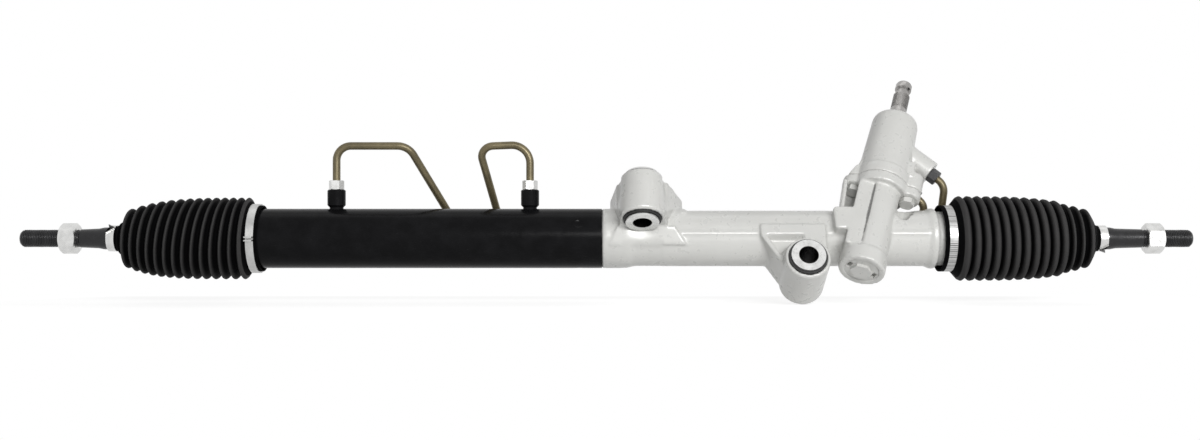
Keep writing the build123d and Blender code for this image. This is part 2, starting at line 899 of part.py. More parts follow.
def upper_bearing():
    """Needle bearing of the pinion, as one closed ring."""
    bore = pinion_journal_diameter + 2 * running_gap
    return pipe_ring(tower, upper_bearing_outer, bore, upper_bearing_low, upper_bearing_high)


def pinion_seal():
    """Shaft seal that parts the valve's oil from the rack."""
    bore = pinion_journal_diameter + 2 * running_gap
    return pipe_ring(tower, upper_bearing_outer, bore, upper_bearing_high, pinion_seal_high)


def pinion_end_plug():
    """Screwed plug under the lower bearing, with a hexagon and two slots to turn it."""
    body = stub(tower, plug_bore_diameter, plug_low, plug_high)
    body -= stub(tower, plug_relief_diameter, plug_high - plug_relief_depth, plug_high + cut_over)
    for side in (-1, 1):
        slot = Box(plug_slot_width, plug_slot_length, plug_slot_depth, align=BASE)
        body -= tower * Rot(0, 0, plug_turn) * Pos(side * plug_slot_reach, 0, plug_low) * slot
    return body + hex_bar(tower, plug_hex_flats, plug_low - plug_hex_height, plug_low)


def valve_housing():
    """Cast valve housing: flange with two ears, tapered bell and slanted ports."""
    low_radius = bell_low_diameter / 2
    high_radius = bell_high_diameter / 2
    bell = turned(tower, [
        (tower_top, 0),
        (tower_top, low_radius),
        (valve_flange_high, low_radius),
        (bell_top - bell_round, high_radius),
        (bell_top - bell_round / 2, high_radius - bell_round / 8),
        (bell_top - bell_round / 8, high_radius - bell_round / 2),
        (bell_top, high_radius - bell_round),
        (bell_top, 0),
    ])
    bell += stub(tower, head_diameter, tower_top, valve_flange_high)
    for ear_line, ear_high in zip(ear_lines(), (valve_flange_high, right_ear_high)):
        bell += stub(ear_line, ear_diameter, tower_top, ear_high)
    bell += valve_gusset()
    for (line, reach), diameter in zip(pipe_ports(), (upper_port_diameter, lower_port_diameter)):
        bell += stub(line, diameter, low_radius / 2, reach)
    for line in hose_lines():
        bell += stub(line, supply_port_diameter, low_radius / 2, supply_port_reach)
    bell -= tower_head()
    bell -= stub(tower, valve_bore_diameter, tower_top - cut_over, valve_room_high)
    bell -= stub(tower, input_bearing_outer, valve_room_high - cut_over, input_bearing_high)
    bell -= stub(tower, input_seal_outer, input_bearing_high, bell_top + cut_over)
    for line, reach in pipe_ports():
        bell -= stub(line, flare_nut_neck, reach - port_seat_depth, reach + cut_over)
        bell -= stub(line, spot_face_diameter, reach, reach + port_seat_depth)
        bell -= stub(line, port_hole_diameter, low_radius / 2, reach)
    for line, bore in zip(hose_lines(), (supply_thread_bore, return_thread_bore)):
        bell -= stub(line, bore, supply_port_reach - supply_port_depth, supply_port_reach + cut_over)
        bell -= stub(line, port_hole_diameter, low_radius / 2, supply_port_reach)
    for ear_line in ear_lines():
        bell -= stub(ear_line, valve_bolt_diameter, tower_top - cut_over, valve_flange_high - cut_over)
    return bell


def pipe_ports():
    """Planes and reaches of the two ports that take the pressure pipes."""
    return (
        (port_plane(upper_port_height, upper_port_turn), upper_port_reach),
        (port_plane(lower_port_height, lower_port_turn), lower_port_reach),
    )


def hose_lines():
    """Planes of the supply and return ports, on the far side of the valve housing."""
    away = tower.y_dir
    lines = []
    for height in (supply_port_height, return_port_height):
        root = tower.origin + tower.z_dir * height
        turn = 1 if height > return_port_height else -1
        out = (away + tower.x_dir * (turn * port_slope_share)).normalized()
        lines.append(Plane(origin=root, x_dir=tower.z_dir, z_dir=out))
    return lines


def valve_bolts():
    """The two bolts that hold the valve housing, put in from below."""
    bolts = []
    for line in ear_lines():
        top = valve_flange_high - 2 * cut_over
        shank = stub(line, valve_bolt_diameter, ear_low, top)
        head = hex_nut(line, valve_bolt_flats, ear_low - valve_bolt_head, ear_low, 0)
        bolts.append(shank + head)
    return Compound(children=bolts)


def valve_sleeve():
    """Rotary valve sleeve with ring grooves and oil grooves round its outside."""
    outer = valve_bore_diameter - 2 * running_gap
    bore = valve_rotor_diameter + 2 * running_gap
    sleeve = pipe_ring(tower, outer, bore, sleeve_low, sleeve_high)
    for centre in sleeve_ring_places():
        low = centre - sleeve_ring_width / 2
        sleeve -= pipe_ring(tower, outer + cut_over, outer - 2 * sleeve_ring_depth, low, low + sleeve_ring_width)
    pitch = (sleeve_high - sleeve_low) / sleeve_ring_count
    for centre in sleeve_ring_places()[:-1]:
        low = centre + (pitch - valve_groove_width) / 2
        sleeve -= pipe_ring(tower, outer + cut_over, outer - 4 * sleeve_ring_depth, low, low + valve_groove_width)
    return sleeve


def sleeve_ring_places():
    """Heights of the sealing rings on the valve sleeve."""
    pitch = (sleeve_high - sleeve_low) / sleeve_ring_count
    return [sleeve_low + pitch * (index + 1 / 2) for index in range(sleeve_ring_count)]


def valve_sleeve_rings():
    """Sealing rings in the valve sleeve's grooves."""
    outer = valve_bore_diameter - running_gap
    inner = valve_bore_diameter - 2 * running_gap - 2 * sleeve_ring_depth
    rings = []
    for centre in sleeve_ring_places():
        low = centre - sleeve_ring_width / 2
        rings.append(pipe_ring(tower, outer, inner, low, low + sleeve_ring_width))
    return Compound(children=rings)


def input_shaft():
    """Input shaft: valve rotor, bearing journal and end with a pinch-bolt groove."""
    rotor = valve_rotor_diameter / 2
    journal = input_journal_diameter / 2 - running_gap
    end = input_shaft_diameter / 2
    waist = pinch_groove_diameter / 2
    groove_low = pinch_groove_centre - pinch_groove_width / 2
    groove_high = pinch_groove_centre + pinch_groove_width / 2
    rotor_low = pinion_seal_high + cut_over * 5
    shaft = turned(tower, [
        (rotor_low, 0),
        (rotor_low, rotor),
        (input_bearing_low - cut_over, rotor),
        (input_bearing_low - cut_over, journal),
        (input_shoulder, journal),
        (input_shoulder + tip_chamfer, end),
        (groove_low, end),
        (groove_low + tip_chamfer, waist),
        (groove_high - tip_chamfer, waist),
        (groove_high, end),
        (input_shaft_tip - tip_chamfer, end),
        (input_shaft_tip, end - tip_chamfer),
        (input_shaft_tip, 0),
    ])
    bore = torsion_bar_head + 2 * seat_gap
    shaft -= stub(tower, bore, rotor_low - cut_over, torsion_bar_high + cut_over)
    return shaft - torsion_pin_hole(torsion_pin_diameter)


def torsion_pin_line():
    """Plane across the input shaft's end collar, above the pinch groove."""
    height = (pinch_groove_centre + pinch_groove_width / 2 + input_shaft_tip) / 2
    return Plane(
        origin=tower.origin + tower.z_dir * height, x_dir=tower.z_dir, z_dir=tower.x_dir
    )


def torsion_pin_hole(diameter):
    """Cross hole for the torsion bar's pin."""
    return stub(torsion_pin_line(), diameter, -input_shaft_diameter, input_shaft_diameter)


def torsion_bar():
    """Torsion bar with a head at each end."""
    bar = stub(tower, torsion_bar_diameter, torsion_bar_low, torsion_bar_high)
    bar += stub(tower, torsion_bar_head, torsion_bar_low, torsion_bar_low + torsion_bar_head_length)
    head_low = torsion_bar_high - 2 * torsion_bar_head_length
    bar += stub(tower, torsion_bar_head, head_low, torsion_bar_high)
    return bar - torsion_pin_hole(torsion_pin_diameter)


def torsion_pin():
    """Pin that locks the torsion bar's upper head to the input shaft."""
    half = input_shaft_diameter / 2 - tip_chamfer
    return stub(torsion_pin_line(), torsion_pin_diameter, -half, half)


def input_bearing():
    """Bearing of the input shaft at the top of the valve housing."""
    bore = input_journal_diameter
    return pipe_ring(tower, input_bearing_outer, bore, input_bearing_low, input_bearing_high)


def input_seal():
    """Oil seal over the input shaft's bearing."""
    bore = input_journal_diameter
    return pipe_ring(tower, input_seal_outer, bore, input_bearing_high, input_seal_high)


def dust_cover():
    """Dust cover pressed in the mouth of the valve housing."""
    bore = input_journal_diameter + 2 * soft_gap
    return pipe_ring(tower, dust_cover_diameter, bore, input_seal_high, input_seal_high + dust_cover_height)


def valve_o_ring():
    """Ring that seals the joint of the two castings."""
    circle = upper_bearing_outer / 2 - o_ring_section / 2
    return tower * Pos(0, 0, tower_top - o_ring_section / 2) * Torus(circle, o_ring_section / 2)


def yoke():
    """Yoke with a round saddle that presses on the back of the rack."""
    plug = stub(yoke_line, yoke_diameter, 0, rack_radius + yoke_length)
    saddle = rack_diameter + 2 * running_gap
    plug -= stub(rack_line, saddle, pinion_x - yoke_diameter, pinion_x + yoke_diameter)
    near_half = stub(yoke_line, yoke_diameter + cut_over, -cut_over, rack_radius / 2)
    spring_low = rack_radius + yoke_length - yoke_spring_pocket
    pocket = yoke_spring_diameter + yoke_spring_wire + 2 * soft_gap
    return plug - near_half - stub(yoke_line, pocket, spring_low, spring_low + yoke_length)


def yoke_spring():
    """Coil spring between the yoke and its plug."""
    low = rack_radius + yoke_length - yoke_spring_pocket + yoke_spring_wire / 2
    height = yoke_spring_pocket + yoke_gap - yoke_spring_wire
    pitch = height / yoke_spring_turns
    coil = Helix(pitch=pitch, height=height, radius=yoke_spring_diameter / 2)
    section = Plane(origin=coil @ 0, z_dir=coil % 0) * Circle(yoke_spring_wire / 2)
    return yoke_line * Pos(0, 0, low) * sweep(section, path=coil)


def yoke_plug():
    """Screwed plug that sets the yoke's spring."""
    low = rack_radius + yoke_length + yoke_gap
    high = low + yoke_plug_length
    hexagon = hex_nut(yoke_line, yoke_plug_flats, high, high + yoke_plug_hex_height, 0)
    return stub(yoke_line, yoke_diameter, low, high) + hexagon


def yoke_lock_nut():
    """Ring nut that locks the yoke plug against its boss."""
    bore = yoke_diameter + 2 * seat_gap
    return hex_nut(yoke_line, yoke_nut_flats, yoke_boss_reach, yoke_boss_reach + yoke_nut_height, bore)


def joint_plane(ball_x, outward):
    """Plane at a ball's centre, its normal along the tie rod."""
    return Plane(origin=(ball_x, 0, 0), x_dir=(0, 0, 1), z_dir=(outward, 0, 0))


def ball_socket(plane):
    """Socket: cup over the ball seat, wrench flats and a screwed shank in the rack."""
    cup_bore = ball_diameter / 2 + seat_wall + running_gap
    edge = cup_bore * math.sin(math.radians(socket_opening_angle))
    radius = socket_diameter / 2
    cup = turned(plane, [
        (-socket_back - washer_thickness - rack_thread_depth + cut_over, 0),
        (-socket_back - washer_thickness - rack_thread_depth + cut_over, rack_thread_diameter / 2),
        (-socket_back, rack_thread_diameter / 2),
        (-socket_back, radius - end_chamfer),
        (-socket_back + end_chamfer, radius),
        (socket_front - seat_wall * 2, radius),
        (socket_front, edge + seat_wall),
        (socket_front, 0),
    ])
    cup -= plane * Sphere(cup_bore)
    cup -= stub(plane, 2 * edge, 0, socket_front + cut_over)
    flats_low = -socket_back - cut_over
    flats_high = -socket_back + socket_flats_length
    wide = plane * Pos(0, 0, flats_low) * Box(
        2 * socket_diameter, 2 * socket_diameter, flats_high - flats_low, align=BASE
    )
    narrow = plane * Pos(0, 0, flats_low) * Box(
        socket_flats, 2 * socket_diameter, flats_high - flats_low, align=BASE
    )
    return cup - (wide - narrow)


def ball_seat(plane):
    """Plastic seat that wraps the ball past its middle."""
    outer = plane * Sphere(ball_diameter / 2 + seat_wall)
    mouth = (ball_diameter / 2) * math.sin(math.radians(socket_opening_angle))
    seat = outer - plane * Sphere(ball_diameter / 2 + running_gap)
    seat -= stub(plane, 2 * mouth, 0, ball_diameter)
    cap_low = ball_diameter / 2 * math.cos(math.radians(socket_opening_angle)) + end_chamfer / 2
    return seat - stub(plane, 2 * ball_diameter, cap_low, ball_diameter)


def claw_washer(plane):
    """Lock washer between the socket and the rack's end."""
    bore = rack_thread_diameter + 2 * seat_gap
    return pipe_ring(plane, washer_diameter, bore, -socket_back - washer_thickness, -socket_back)


def tie_rod(plane, tip, nut_start):
    """Tie rod: ball, neck, body, seat for the bellows' neck and threaded end."""
    ball_radius = ball_diameter / 2
    neck = rod_neck_diameter / 2
    body = rod_body_diameter / 2
    clamp_seat = clamp_seat_diameter / 2
    seat_low = clamp_seat_from_ball - clamp_seat_length / 2
    seat_high = clamp_seat_from_ball + clamp_seat_length / 2
    stud = stud_diameter / 2
    thread = nut_thread_diameter / 2
    nut_end = nut_start + jam_nut_height
    rod = turned(plane, [
        (0, 0),
        (0, neck),
        (rod_neck_end, neck),
        (rod_body_start, body),
        (seat_low, body),
        (seat_low, clamp_seat),
        (seat_high, clamp_seat),
        (seat_high, body),
        (seat_high + end_chamfer * 3, body),
        (nut_start - end_chamfer, rod_waist_diameter / 2),
        (nut_start, thread),
        (nut_end, thread),
        (nut_end + end_chamfer, stud),
        (tip - end_chamfer, stud),
        (tip, stud - end_chamfer),
        (tip, 0),
    ])
    return rod + plane * Sphere(ball_radius)


def jam_nut(plane, nut_start):
    """Jam nut on the tie rod's thread."""
    return hex_nut(plane, jam_nut_flats, nut_start, nut_start + jam_nut_height, nut_thread_diameter)


def crest_radius(share, power):
    """Radius of a bellows' crest, from its small end (0) to its large end (1)."""
    swell = 1 - (1 - share) ** power
    small = bellows_small_diameter / 2
    return small + (bellows_large_diameter / 2 - small) * swell


def neck_radius():
    """Outside radius of a bellows' neck on the tie rod."""
    return clamp_seat_diameter / 2 + soft_gap + neck_wall


def bellows(plane, end_reach, overlap, seat_radius, first_crest, power):
    """Bellows from the housing's end, which lies end_reach behind the ball, to the tie rod."""
    neck_low = clamp_seat_from_ball - clamp_seat_length / 2 + soft_gap
    neck_high = clamp_seat_from_ball + clamp_seat_length / 2 - soft_gap
    neck_in = clamp_seat_diameter / 2 + soft_gap
    shoulder_in = rod_body_diameter / 2 + soft_gap
    shoulder_out = shoulder_in + bellows_wall
    cuff_in = seat_radius + seat_gap
    cuff_out = cuff_in + cuff_wall
    cuff_low = -end_reach - overlap
    pitch = (last_crest_from_ball - first_crest) / (fold_count - 1)
    fold_low = first_crest - pitch / 2
    outer = [(cuff_low, cuff_in), (cuff_low, cuff_out), (fold_low, cuff_out)]
    inner = [(fold_low + bellows_wall, cuff_in)]
    for index in range(fold_count):
        middle = first_crest + pitch * index
        share = 1 - index / (fold_count - 1)
        crest = crest_radius(share, power)
        outer.append((middle - fold_crest / 2, crest))
        outer.append((middle + fold_crest / 2, crest))
        inner.append((middle, crest - bellows_wall))
        if index < fold_count - 1:
            valley = crest_radius(share - 1 / (fold_count - 1) / 2, power) - fold_depth
            outer.append((middle + pitch / 2, valley))
            inner.append((middle + pitch / 2, valley - bellows_wall))
    outer += [(neck_low - bellows_wall, shoulder_out), (neck_low + bellows_wall, shoulder_out)]
    outer += [(neck_low + bellows_wall, neck_radius()), (neck_high, neck_radius())]
    inner += [(neck_low - bellows_wall, shoulder_in), (neck_low, shoulder_in)]
    inner += [(neck_low, neck_in), (neck_high, neck_in)]
    return turned(plane, outer + inner[::-1])


def band_clamp(plane, inner_radius, centre, width, thickness, ear_height, ear_width):
    """Band clamp with two folded ears on its far side."""
    outer_radius = inner_radius + thickness
    low = centre - width / 2
    band = pipe_ring(plane, 2 * outer_radius, 2 * inner_radius, low, low + width)
    for side in (-1, 1):
        ear = Box(ear_height + thickness, thickness, width, align=(Align.MIN, Align.CENTER, Align.MIN))
        place = Rot(0, 0, -90) * Pos(inner_radius + thickness / 4, side * ear_width / 2, low)
        band += plane * place * ear
    return band


def pipe(points, bends):
    """Bent steel pipe: straight runs joined by round bends, open at both ends."""
    path = FilletPolyline(*points, radius=bends)
    start = Plane(origin=path @ 0, z_dir=path % 0)
    wall = sweep(start * Circle(pipe_diameter / 2), path=path)
    return wall - sweep(start * Circle(pipe_bore / 2), path=path)


def pipe_seat(line, seat):
    """Point where a pipe starts in its flare nut."""
    return line.origin + line.z_dir * (seat - port_seat_depth / 2)


def left_pipe():
    """Pipe from the cylinder's left port to the upper port of the valve housing."""
    line, reach = pipe_ports()[0]
    points = [
        pipe_seat(port_line(left_port_x), cylinder_seat),
        (left_port_x, 0, left_pipe_top_z),
        (left_pipe_turn_x, 0, left_pipe_top_z),
        (left_pipe_behind_x, pipe_back_y, left_pipe_back_z),
        (left_pipe_rise_x, pipe_back_y, left_pipe_back_z),
        line.origin + line.z_dir * (reach + left_pipe_end_run),
        pipe_seat(line, reach),
    ]
    return pipe(points, [pipe_bend, left_pipe_bend_over, pipe_bend, pipe_bend, pipe_bend])


def right_pipe():
    """Pipe from the cylinder's right port to the lower port of the valve housing."""
    line, reach = pipe_ports()[1]
    points = [
        pipe_seat(port_line(right_port_x), cylinder_seat),
        (right_port_x, 0, right_pipe_top_z),
        (right_pipe_turn_x, 0, right_pipe_top_z - right_pipe_drop_z),
        (right_pipe_behind_x, pipe_back_y, right_pipe_back_z),
        (right_pipe_rise_x, pipe_back_y, right_pipe_back_z),
        line.origin + line.z_dir * (reach + right_pipe_end_run),
        pipe_seat(line, reach),
    ]
    tight = right_pipe_bend_tight
    return pipe(points, [right_pipe_bend_over, tight, pipe_bend, tight, right_pipe_bend_end])


def build_nodes():
    """Every node of the part, in the rack's own frame."""
    nodes = {}
    nodes["rack_housing"] = rack_housing()
    nodes["cylinder_tube"] = cylinder_tube()
    nodes["port_boss_left"] = port_boss(left_port_x)
    nodes["port_boss_right"] = port_boss(right_port_x)
    nodes["rack_bush"] = rack_bush()
    nodes["rack_outer_seal"] = outer_rack_seal()
    nodes["rack_inner_seal"] = inner_rack_seal()
    nodes["rack_seal_backup"] = pipe_ring(
        rack_line, 2 * cylinder_bore_radius, rack_diameter + 4 * soft_gap,
        housing_left_x - backup_length, housing_left_x,
    )
    nodes["rack_bar"] = rack_bar()
    nodes["piston"] = piston()
    nodes["piston_ring"] = piston_ring()
    nodes["pinion"] = pinion()
    outer_race, inner_race, balls = bearing_set(
        lower_bearing_low, lower_bearing_high, lower_bearing_outer, lower_bearing_inner
    )
    nodes["lower_bearing_outer"] = outer_race
    nodes["lower_bearing_inner"] = inner_race
    nodes["lower_bearing_balls"] = balls
    nodes["upper_bearing"] = upper_bearing()
    nodes["pinion_seal"] = pinion_seal()
    nodes["pinion_end_plug"] = pinion_end_plug()
    nodes["valve_housing"] = valve_housing()
    nodes["valve_housing_bolts"] = valve_bolts()
    nodes["valve_housing_o_ring"] = valve_o_ring()
    nodes["valve_sleeve"] = valve_sleeve()
    nodes["valve_sleeve_rings"] = valve_sleeve_rings()
    nodes["input_shaft"] = input_shaft()
    nodes["torsion_bar"] = torsion_bar()
    nodes["torsion_bar_pin"] = torsion_pin()
    nodes["input_bearing"] = input_bearing()
    nodes["input_shaft_seal"] = input_seal()
    nodes["dust_cover"] = dust_cover()
    nodes["yoke"] = yoke()
    nodes["yoke_spring"] = yoke_spring()
    nodes["yoke_plug"] = yoke_plug()
    nodes["yoke_lock_nut"] = yoke_lock_nut()
    for name, plane, length in (
        ("left", left_eye, left_eye_length),
        ("right", right_eye, right_eye_length),
    ):
        nodes[f"mount_sleeve_{name}"] = mount_sleeve(plane, length)
        nodes[f"mount_bush_{name}"] = pipe_ring(
            plane, bush_diameter, sleeve_diameter, -bush_proud, length + bush_proud
        )
    for name, ball_x, outward, tip, nut_start, first_crest_x, power, clamp_inset in (
        (
            "left", left_ball_x, -1, left_stud_tip, left_nut_from_ball,
            left_first_crest_x, left_swell_power, left_large_clamp_inset,
        ),
        (
            "right", right_ball_x, 1, right_stud_tip, right_nut_from_ball,
            right_first_crest_x, right_swell_power, right_large_clamp_inset,
        ),
    ):
        plane = joint_plane(ball_x, outward)
        seat_radius = cylinder_radius if outward < 0 else cuff_seat_diameter / 2 + seat_lip_height
        end_reach = abs(ball_x - (cylinder_left_x if outward < 0 else housing_right_x))
        overlap = left_cuff_overlap if outward < 0 else right_cuff_overlap
        nodes[f"ball_socket_{name}"] = ball_socket(plane)
        nodes[f"ball_seat_{name}"] = ball_seat(plane)
        nodes[f"claw_washer_{name}"] = claw_washer(plane)
        nodes[f"tie_rod_{name}"] = tie_rod(plane, tip, nut_start)
        nodes[f"jam_nut_{name}"] = jam_nut(plane, nut_start)
        nodes[f"bellows_{name}"] = bellows(
            plane, end_reach, overlap, seat_radius, -abs(ball_x - first_crest_x), power
        )
        nodes[f"large_clamp_{name}"] = band_clamp(
            plane, seat_radius + 2 * seat_gap + cuff_wall, -end_reach - clamp_inset,
            large_clamp_width, large_clamp_thickness, clamp_ear_height, clamp_ear_width,
        )
        nodes[f"small_clamp_{name}"] = band_clamp(
            plane, neck_radius() + soft_gap, clamp_seat_from_ball + bellows_wall / 2,
            small_clamp_width, small_clamp_thickness, clamp_ear_height / 2, clamp_ear_width,
        )
    nodes["pressure_pipe_left"] = left_pipe()
    nodes["pressure_pipe_right"] = right_pipe()
    nodes["cylinder_flare_nuts"] = Compound(children=[
        flare_nut(port_line(left_port_x), cylinder_seat),
        flare_nut(port_line(right_port_x), cylinder_seat),
    ])
    nodes["valve_flare_nuts"] = Compound(children=[
        flare_nut(line, reach) for line, reach in pipe_ports()
    ])
    return nodes


def mount_sleeve(plane, length):
    """Steel sleeve of a mount bush, with a flared face at each end."""
    bore = sleeve_bore / 2
    body = sleeve_diameter / 2
    flange = sleeve_flange_diameter / 2
    low = -sleeve_proud
    high = length + sleeve_proud
    return turned(plane, [
        (low, bore),
        (low, flange),
        (low + sleeve_flange_length, flange),
        (low + sleeve_flange_length, body),
        (high - sleeve_flange_length, body),
        (high - sleeve_flange_length, flange),
        (high, flange),
        (high, bore),
    ])


os.makedirs("parts", exist_ok=True)
to_origin = Pos(*(left_eye_centre * -1))
for name, shape in build_nodes().items():
    export_step(to_origin * shape, f"parts/{name}.step")
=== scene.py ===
import json
import math

import bmesh
import bpy
from bpy.props import FloatProperty, FloatVectorProperty, IntProperty, PointerProperty
from bpy.types import Operator, Panel, PropertyGroup
from mathutils import Matrix, Vector
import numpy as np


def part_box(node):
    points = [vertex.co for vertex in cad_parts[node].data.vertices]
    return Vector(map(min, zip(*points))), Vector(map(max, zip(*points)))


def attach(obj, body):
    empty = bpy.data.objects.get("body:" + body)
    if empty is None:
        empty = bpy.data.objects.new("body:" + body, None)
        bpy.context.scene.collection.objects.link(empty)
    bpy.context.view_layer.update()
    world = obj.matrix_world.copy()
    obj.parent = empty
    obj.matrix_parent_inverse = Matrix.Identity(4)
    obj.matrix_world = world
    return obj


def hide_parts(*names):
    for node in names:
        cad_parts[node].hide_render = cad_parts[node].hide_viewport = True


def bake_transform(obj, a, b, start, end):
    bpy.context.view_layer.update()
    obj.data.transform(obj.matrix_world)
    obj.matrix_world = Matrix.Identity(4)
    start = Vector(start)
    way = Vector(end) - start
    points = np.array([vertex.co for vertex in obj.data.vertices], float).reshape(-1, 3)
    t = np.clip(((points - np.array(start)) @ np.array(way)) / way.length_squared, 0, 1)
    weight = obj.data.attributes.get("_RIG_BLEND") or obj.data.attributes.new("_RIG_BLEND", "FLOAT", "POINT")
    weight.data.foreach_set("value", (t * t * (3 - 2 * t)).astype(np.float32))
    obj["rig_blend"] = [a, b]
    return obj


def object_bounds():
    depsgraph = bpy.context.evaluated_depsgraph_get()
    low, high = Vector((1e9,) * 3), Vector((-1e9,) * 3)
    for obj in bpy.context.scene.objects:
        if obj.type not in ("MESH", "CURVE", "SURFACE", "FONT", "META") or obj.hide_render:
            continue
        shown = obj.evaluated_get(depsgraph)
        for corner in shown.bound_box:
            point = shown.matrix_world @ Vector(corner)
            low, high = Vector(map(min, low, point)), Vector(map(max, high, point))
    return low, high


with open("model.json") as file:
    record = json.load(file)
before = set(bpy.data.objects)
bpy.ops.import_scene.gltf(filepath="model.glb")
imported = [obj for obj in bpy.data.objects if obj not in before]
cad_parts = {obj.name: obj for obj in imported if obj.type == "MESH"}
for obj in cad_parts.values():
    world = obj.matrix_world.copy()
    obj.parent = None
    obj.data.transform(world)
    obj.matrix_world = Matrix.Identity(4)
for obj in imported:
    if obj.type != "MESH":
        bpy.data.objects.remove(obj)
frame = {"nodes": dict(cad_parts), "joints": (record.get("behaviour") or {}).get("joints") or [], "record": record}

bl_info = {
    "name": "Steering rack",
    "version": (1, 0, 0),
    "blender": (4, 5, 0),
    "location": "View3D > Sidebar > Steering rack",
    "description": "Dresses the packed steering rack with cast, turned and moulded surfaces",
    "category": "Object",
}

CAD_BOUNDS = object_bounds()
MM = 0.001


# Places read from the frame

def joint_named(name):
    """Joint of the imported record."""
    return next(joint for joint in frame["joints"] if joint["name"] == name)


def middle(node):
    """Centre of a node's box."""
    low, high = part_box(node)
    return (low + high) / 2


RACK_LINE = middle("cylinder_tube")
TOWER_FOOT = Vector(joint_named("pinion_turn")["pos_m"])
TOWER_AXIS = Vector(joint_named("pinion_turn")["axis"]).normalized()
BALLS = {
    "left": Vector(joint_named("left_tie_rod_swing")["pos_m"]),
    "right": Vector(joint_named("right_tie_rod_swing")["pos_m"]),
}
OUTWARD = {"left": -1, "right": 1}
CLAMP_SHIFT = 3.6 * MM
CAMERA_PLACE = (-0.0374, -1.2450, -0.0189)
# Place of the tower's front groove across its axis, in millimetres
GROOVE_ACROSS = -5.6


def along_rack(side, reach):
    """Matrix that stands a piece built on +Z along the tie rod, from reach past the ball."""
    out = OUTWARD[side]
    place = BALLS[side] + Vector((out * reach, 0, 0))
    turn = Matrix(((0, 0, out), (0, out, 0), (-1, 0, 0))).to_4x4()
    return Matrix.Translation(place) @ turn


def on_eye(side):
    """Matrix with its origin in a mount eye's middle, +Z running in from the near face, +Y to the rack."""
    mount = next(mount for mount in frame["record"]["mounts"] if mount["name"] == f"{side}_mount_bore")
    centre, inward = Vector(mount["pos_m"]), -Vector(mount["axis"]).normalized()
    across = inward.cross(Vector((1, 0, 0)))
    if across.dot(RACK_LINE - centre) < 0:
        across = -across
    turn = Matrix((Vector((1, 0, 0)), across, inward)).transposed().to_4x4()
    return Matrix.Translation(centre) @ turn


def on_tower(height):
    """Matrix that stands a piece built on +Z on the pinion's axis."""
    across = Vector((1, 0, 0)) - TOWER_AXIS * TOWER_AXIS.x
    across.normalize()
    away = TOWER_AXIS.cross(across)
    turn = Matrix((across, away, TOWER_AXIS)).transposed().to_4x4()
    return Matrix.Translation(TOWER_FOOT + TOWER_AXIS * height) @ turn


# Formulas made of Math nodes, for geometry and for materials

class Term:
    """A number or node socket that takes part in a formula."""

    def __init__(self, tree, value):
        self.tree = tree
        self.value = value

    def math(self, operation, *others):
        """This term and others through one Math node."""
        node = self.tree.nodes.new("ShaderNodeMath")
        node.operation = operation
        for place, item in zip(node.inputs, (self, *others)):
            value = item.value if isinstance(item, Term) else item
            if isinstance(value, bpy.types.NodeSocket):
                self.tree.links.new(value, place)
            else:
                place.default_value = value
        return Term(self.tree, node.outputs[0])

    def __add__(self, other):
        return self.math("ADD", other)

    def __sub__(self, other):
        return self.math("SUBTRACT", other)

    def __mul__(self, other):
        return self.math("MULTIPLY", other)

    def __truediv__(self, other):
        return self.math("DIVIDE", other)

    def __pow__(self, other):
        return self.math("POWER", other)


def seen_rays(tree):
    """One on camera, glossy and transmission rays, nought on those that light the scene."""
    path = tree.nodes.new("ShaderNodeLightPath")
    seen = Term(tree, path.outputs["Is Camera Ray"])
    for label in ("Is Glossy Ray", "Is Transmission Ray"):
        seen = seen.math("MAXIMUM", path.outputs[label])
    return seen


# Materials

def start_material(name):
    """New node material: its tree and its shader."""
    material = bpy.data.materials.new(name)
    material.use_nodes = True
    tree = material.node_tree
    shader = tree.nodes["Principled BSDF"]
    return material, tree, shader


def object_place(tree):
    """Object coordinates of the piece."""
    return tree.nodes.new("ShaderNodeTexCoord").outputs["Object"]


def noise(tree, place, scale, detail=3.0, roughness=0.55):
    """Noise value at a place."""
    node = tree.nodes.new("ShaderNodeTexNoise")
    node.inputs["Scale"].default_value = scale
    node.inputs["Detail"].default_value = detail
    node.inputs["Roughness"].default_value = roughness
    tree.links.new(place, node.inputs["Vector"])
    return node.outputs["Fac"]


def stretched(tree, place, scale):
    """Place scaled by its own factor on each axis."""
    node = tree.nodes.new("ShaderNodeMapping")
    node.inputs["Scale"].default_value = scale
    tree.links.new(place, node.inputs["Vector"])
    return node.outputs["Vector"]


def ramp(tree, value, stops):
    """Colour or grey picked from (position, colour) stops."""
    node = tree.nodes.new("ShaderNodeValToRGB")
    tree.links.new(value, node.inputs["Fac"])
    elements = node.color_ramp.elements
    for element, (position, colour) in zip(elements, (stops[0], stops[-1])):
        element.position = position
        element.color = (*colour, 1)
    for position, colour in stops[1:-1]:
        elements.new(position).color = (*colour, 1)
    return node.outputs["Color"]


def graded(tree, shader, label, value, stops):
    """Feeds one of the shader's inputs with the ramp of a value."""
    tree.links.new(ramp(tree, value, stops), shader.inputs[label])


def grey(value):
    """Neutral colour."""
    return (value, value, value)


def shade(colour, factor):
    """Colour made darker or lighter."""
    return tuple(min(channel * factor, 1.0) for channel in colour)


def bump(tree, shader, height, distance, strength=1.0):
    """Surface relief from a height value, in metres."""
    node = tree.nodes.new("ShaderNodeBump")
    node.inputs["Strength"].default_value = strength
    node.inputs["Distance"].default_value = distance
    tree.links.new(height, node.inputs["Height"])
    tree.links.new(node.outputs["Normal"], shader.inputs["Normal"])


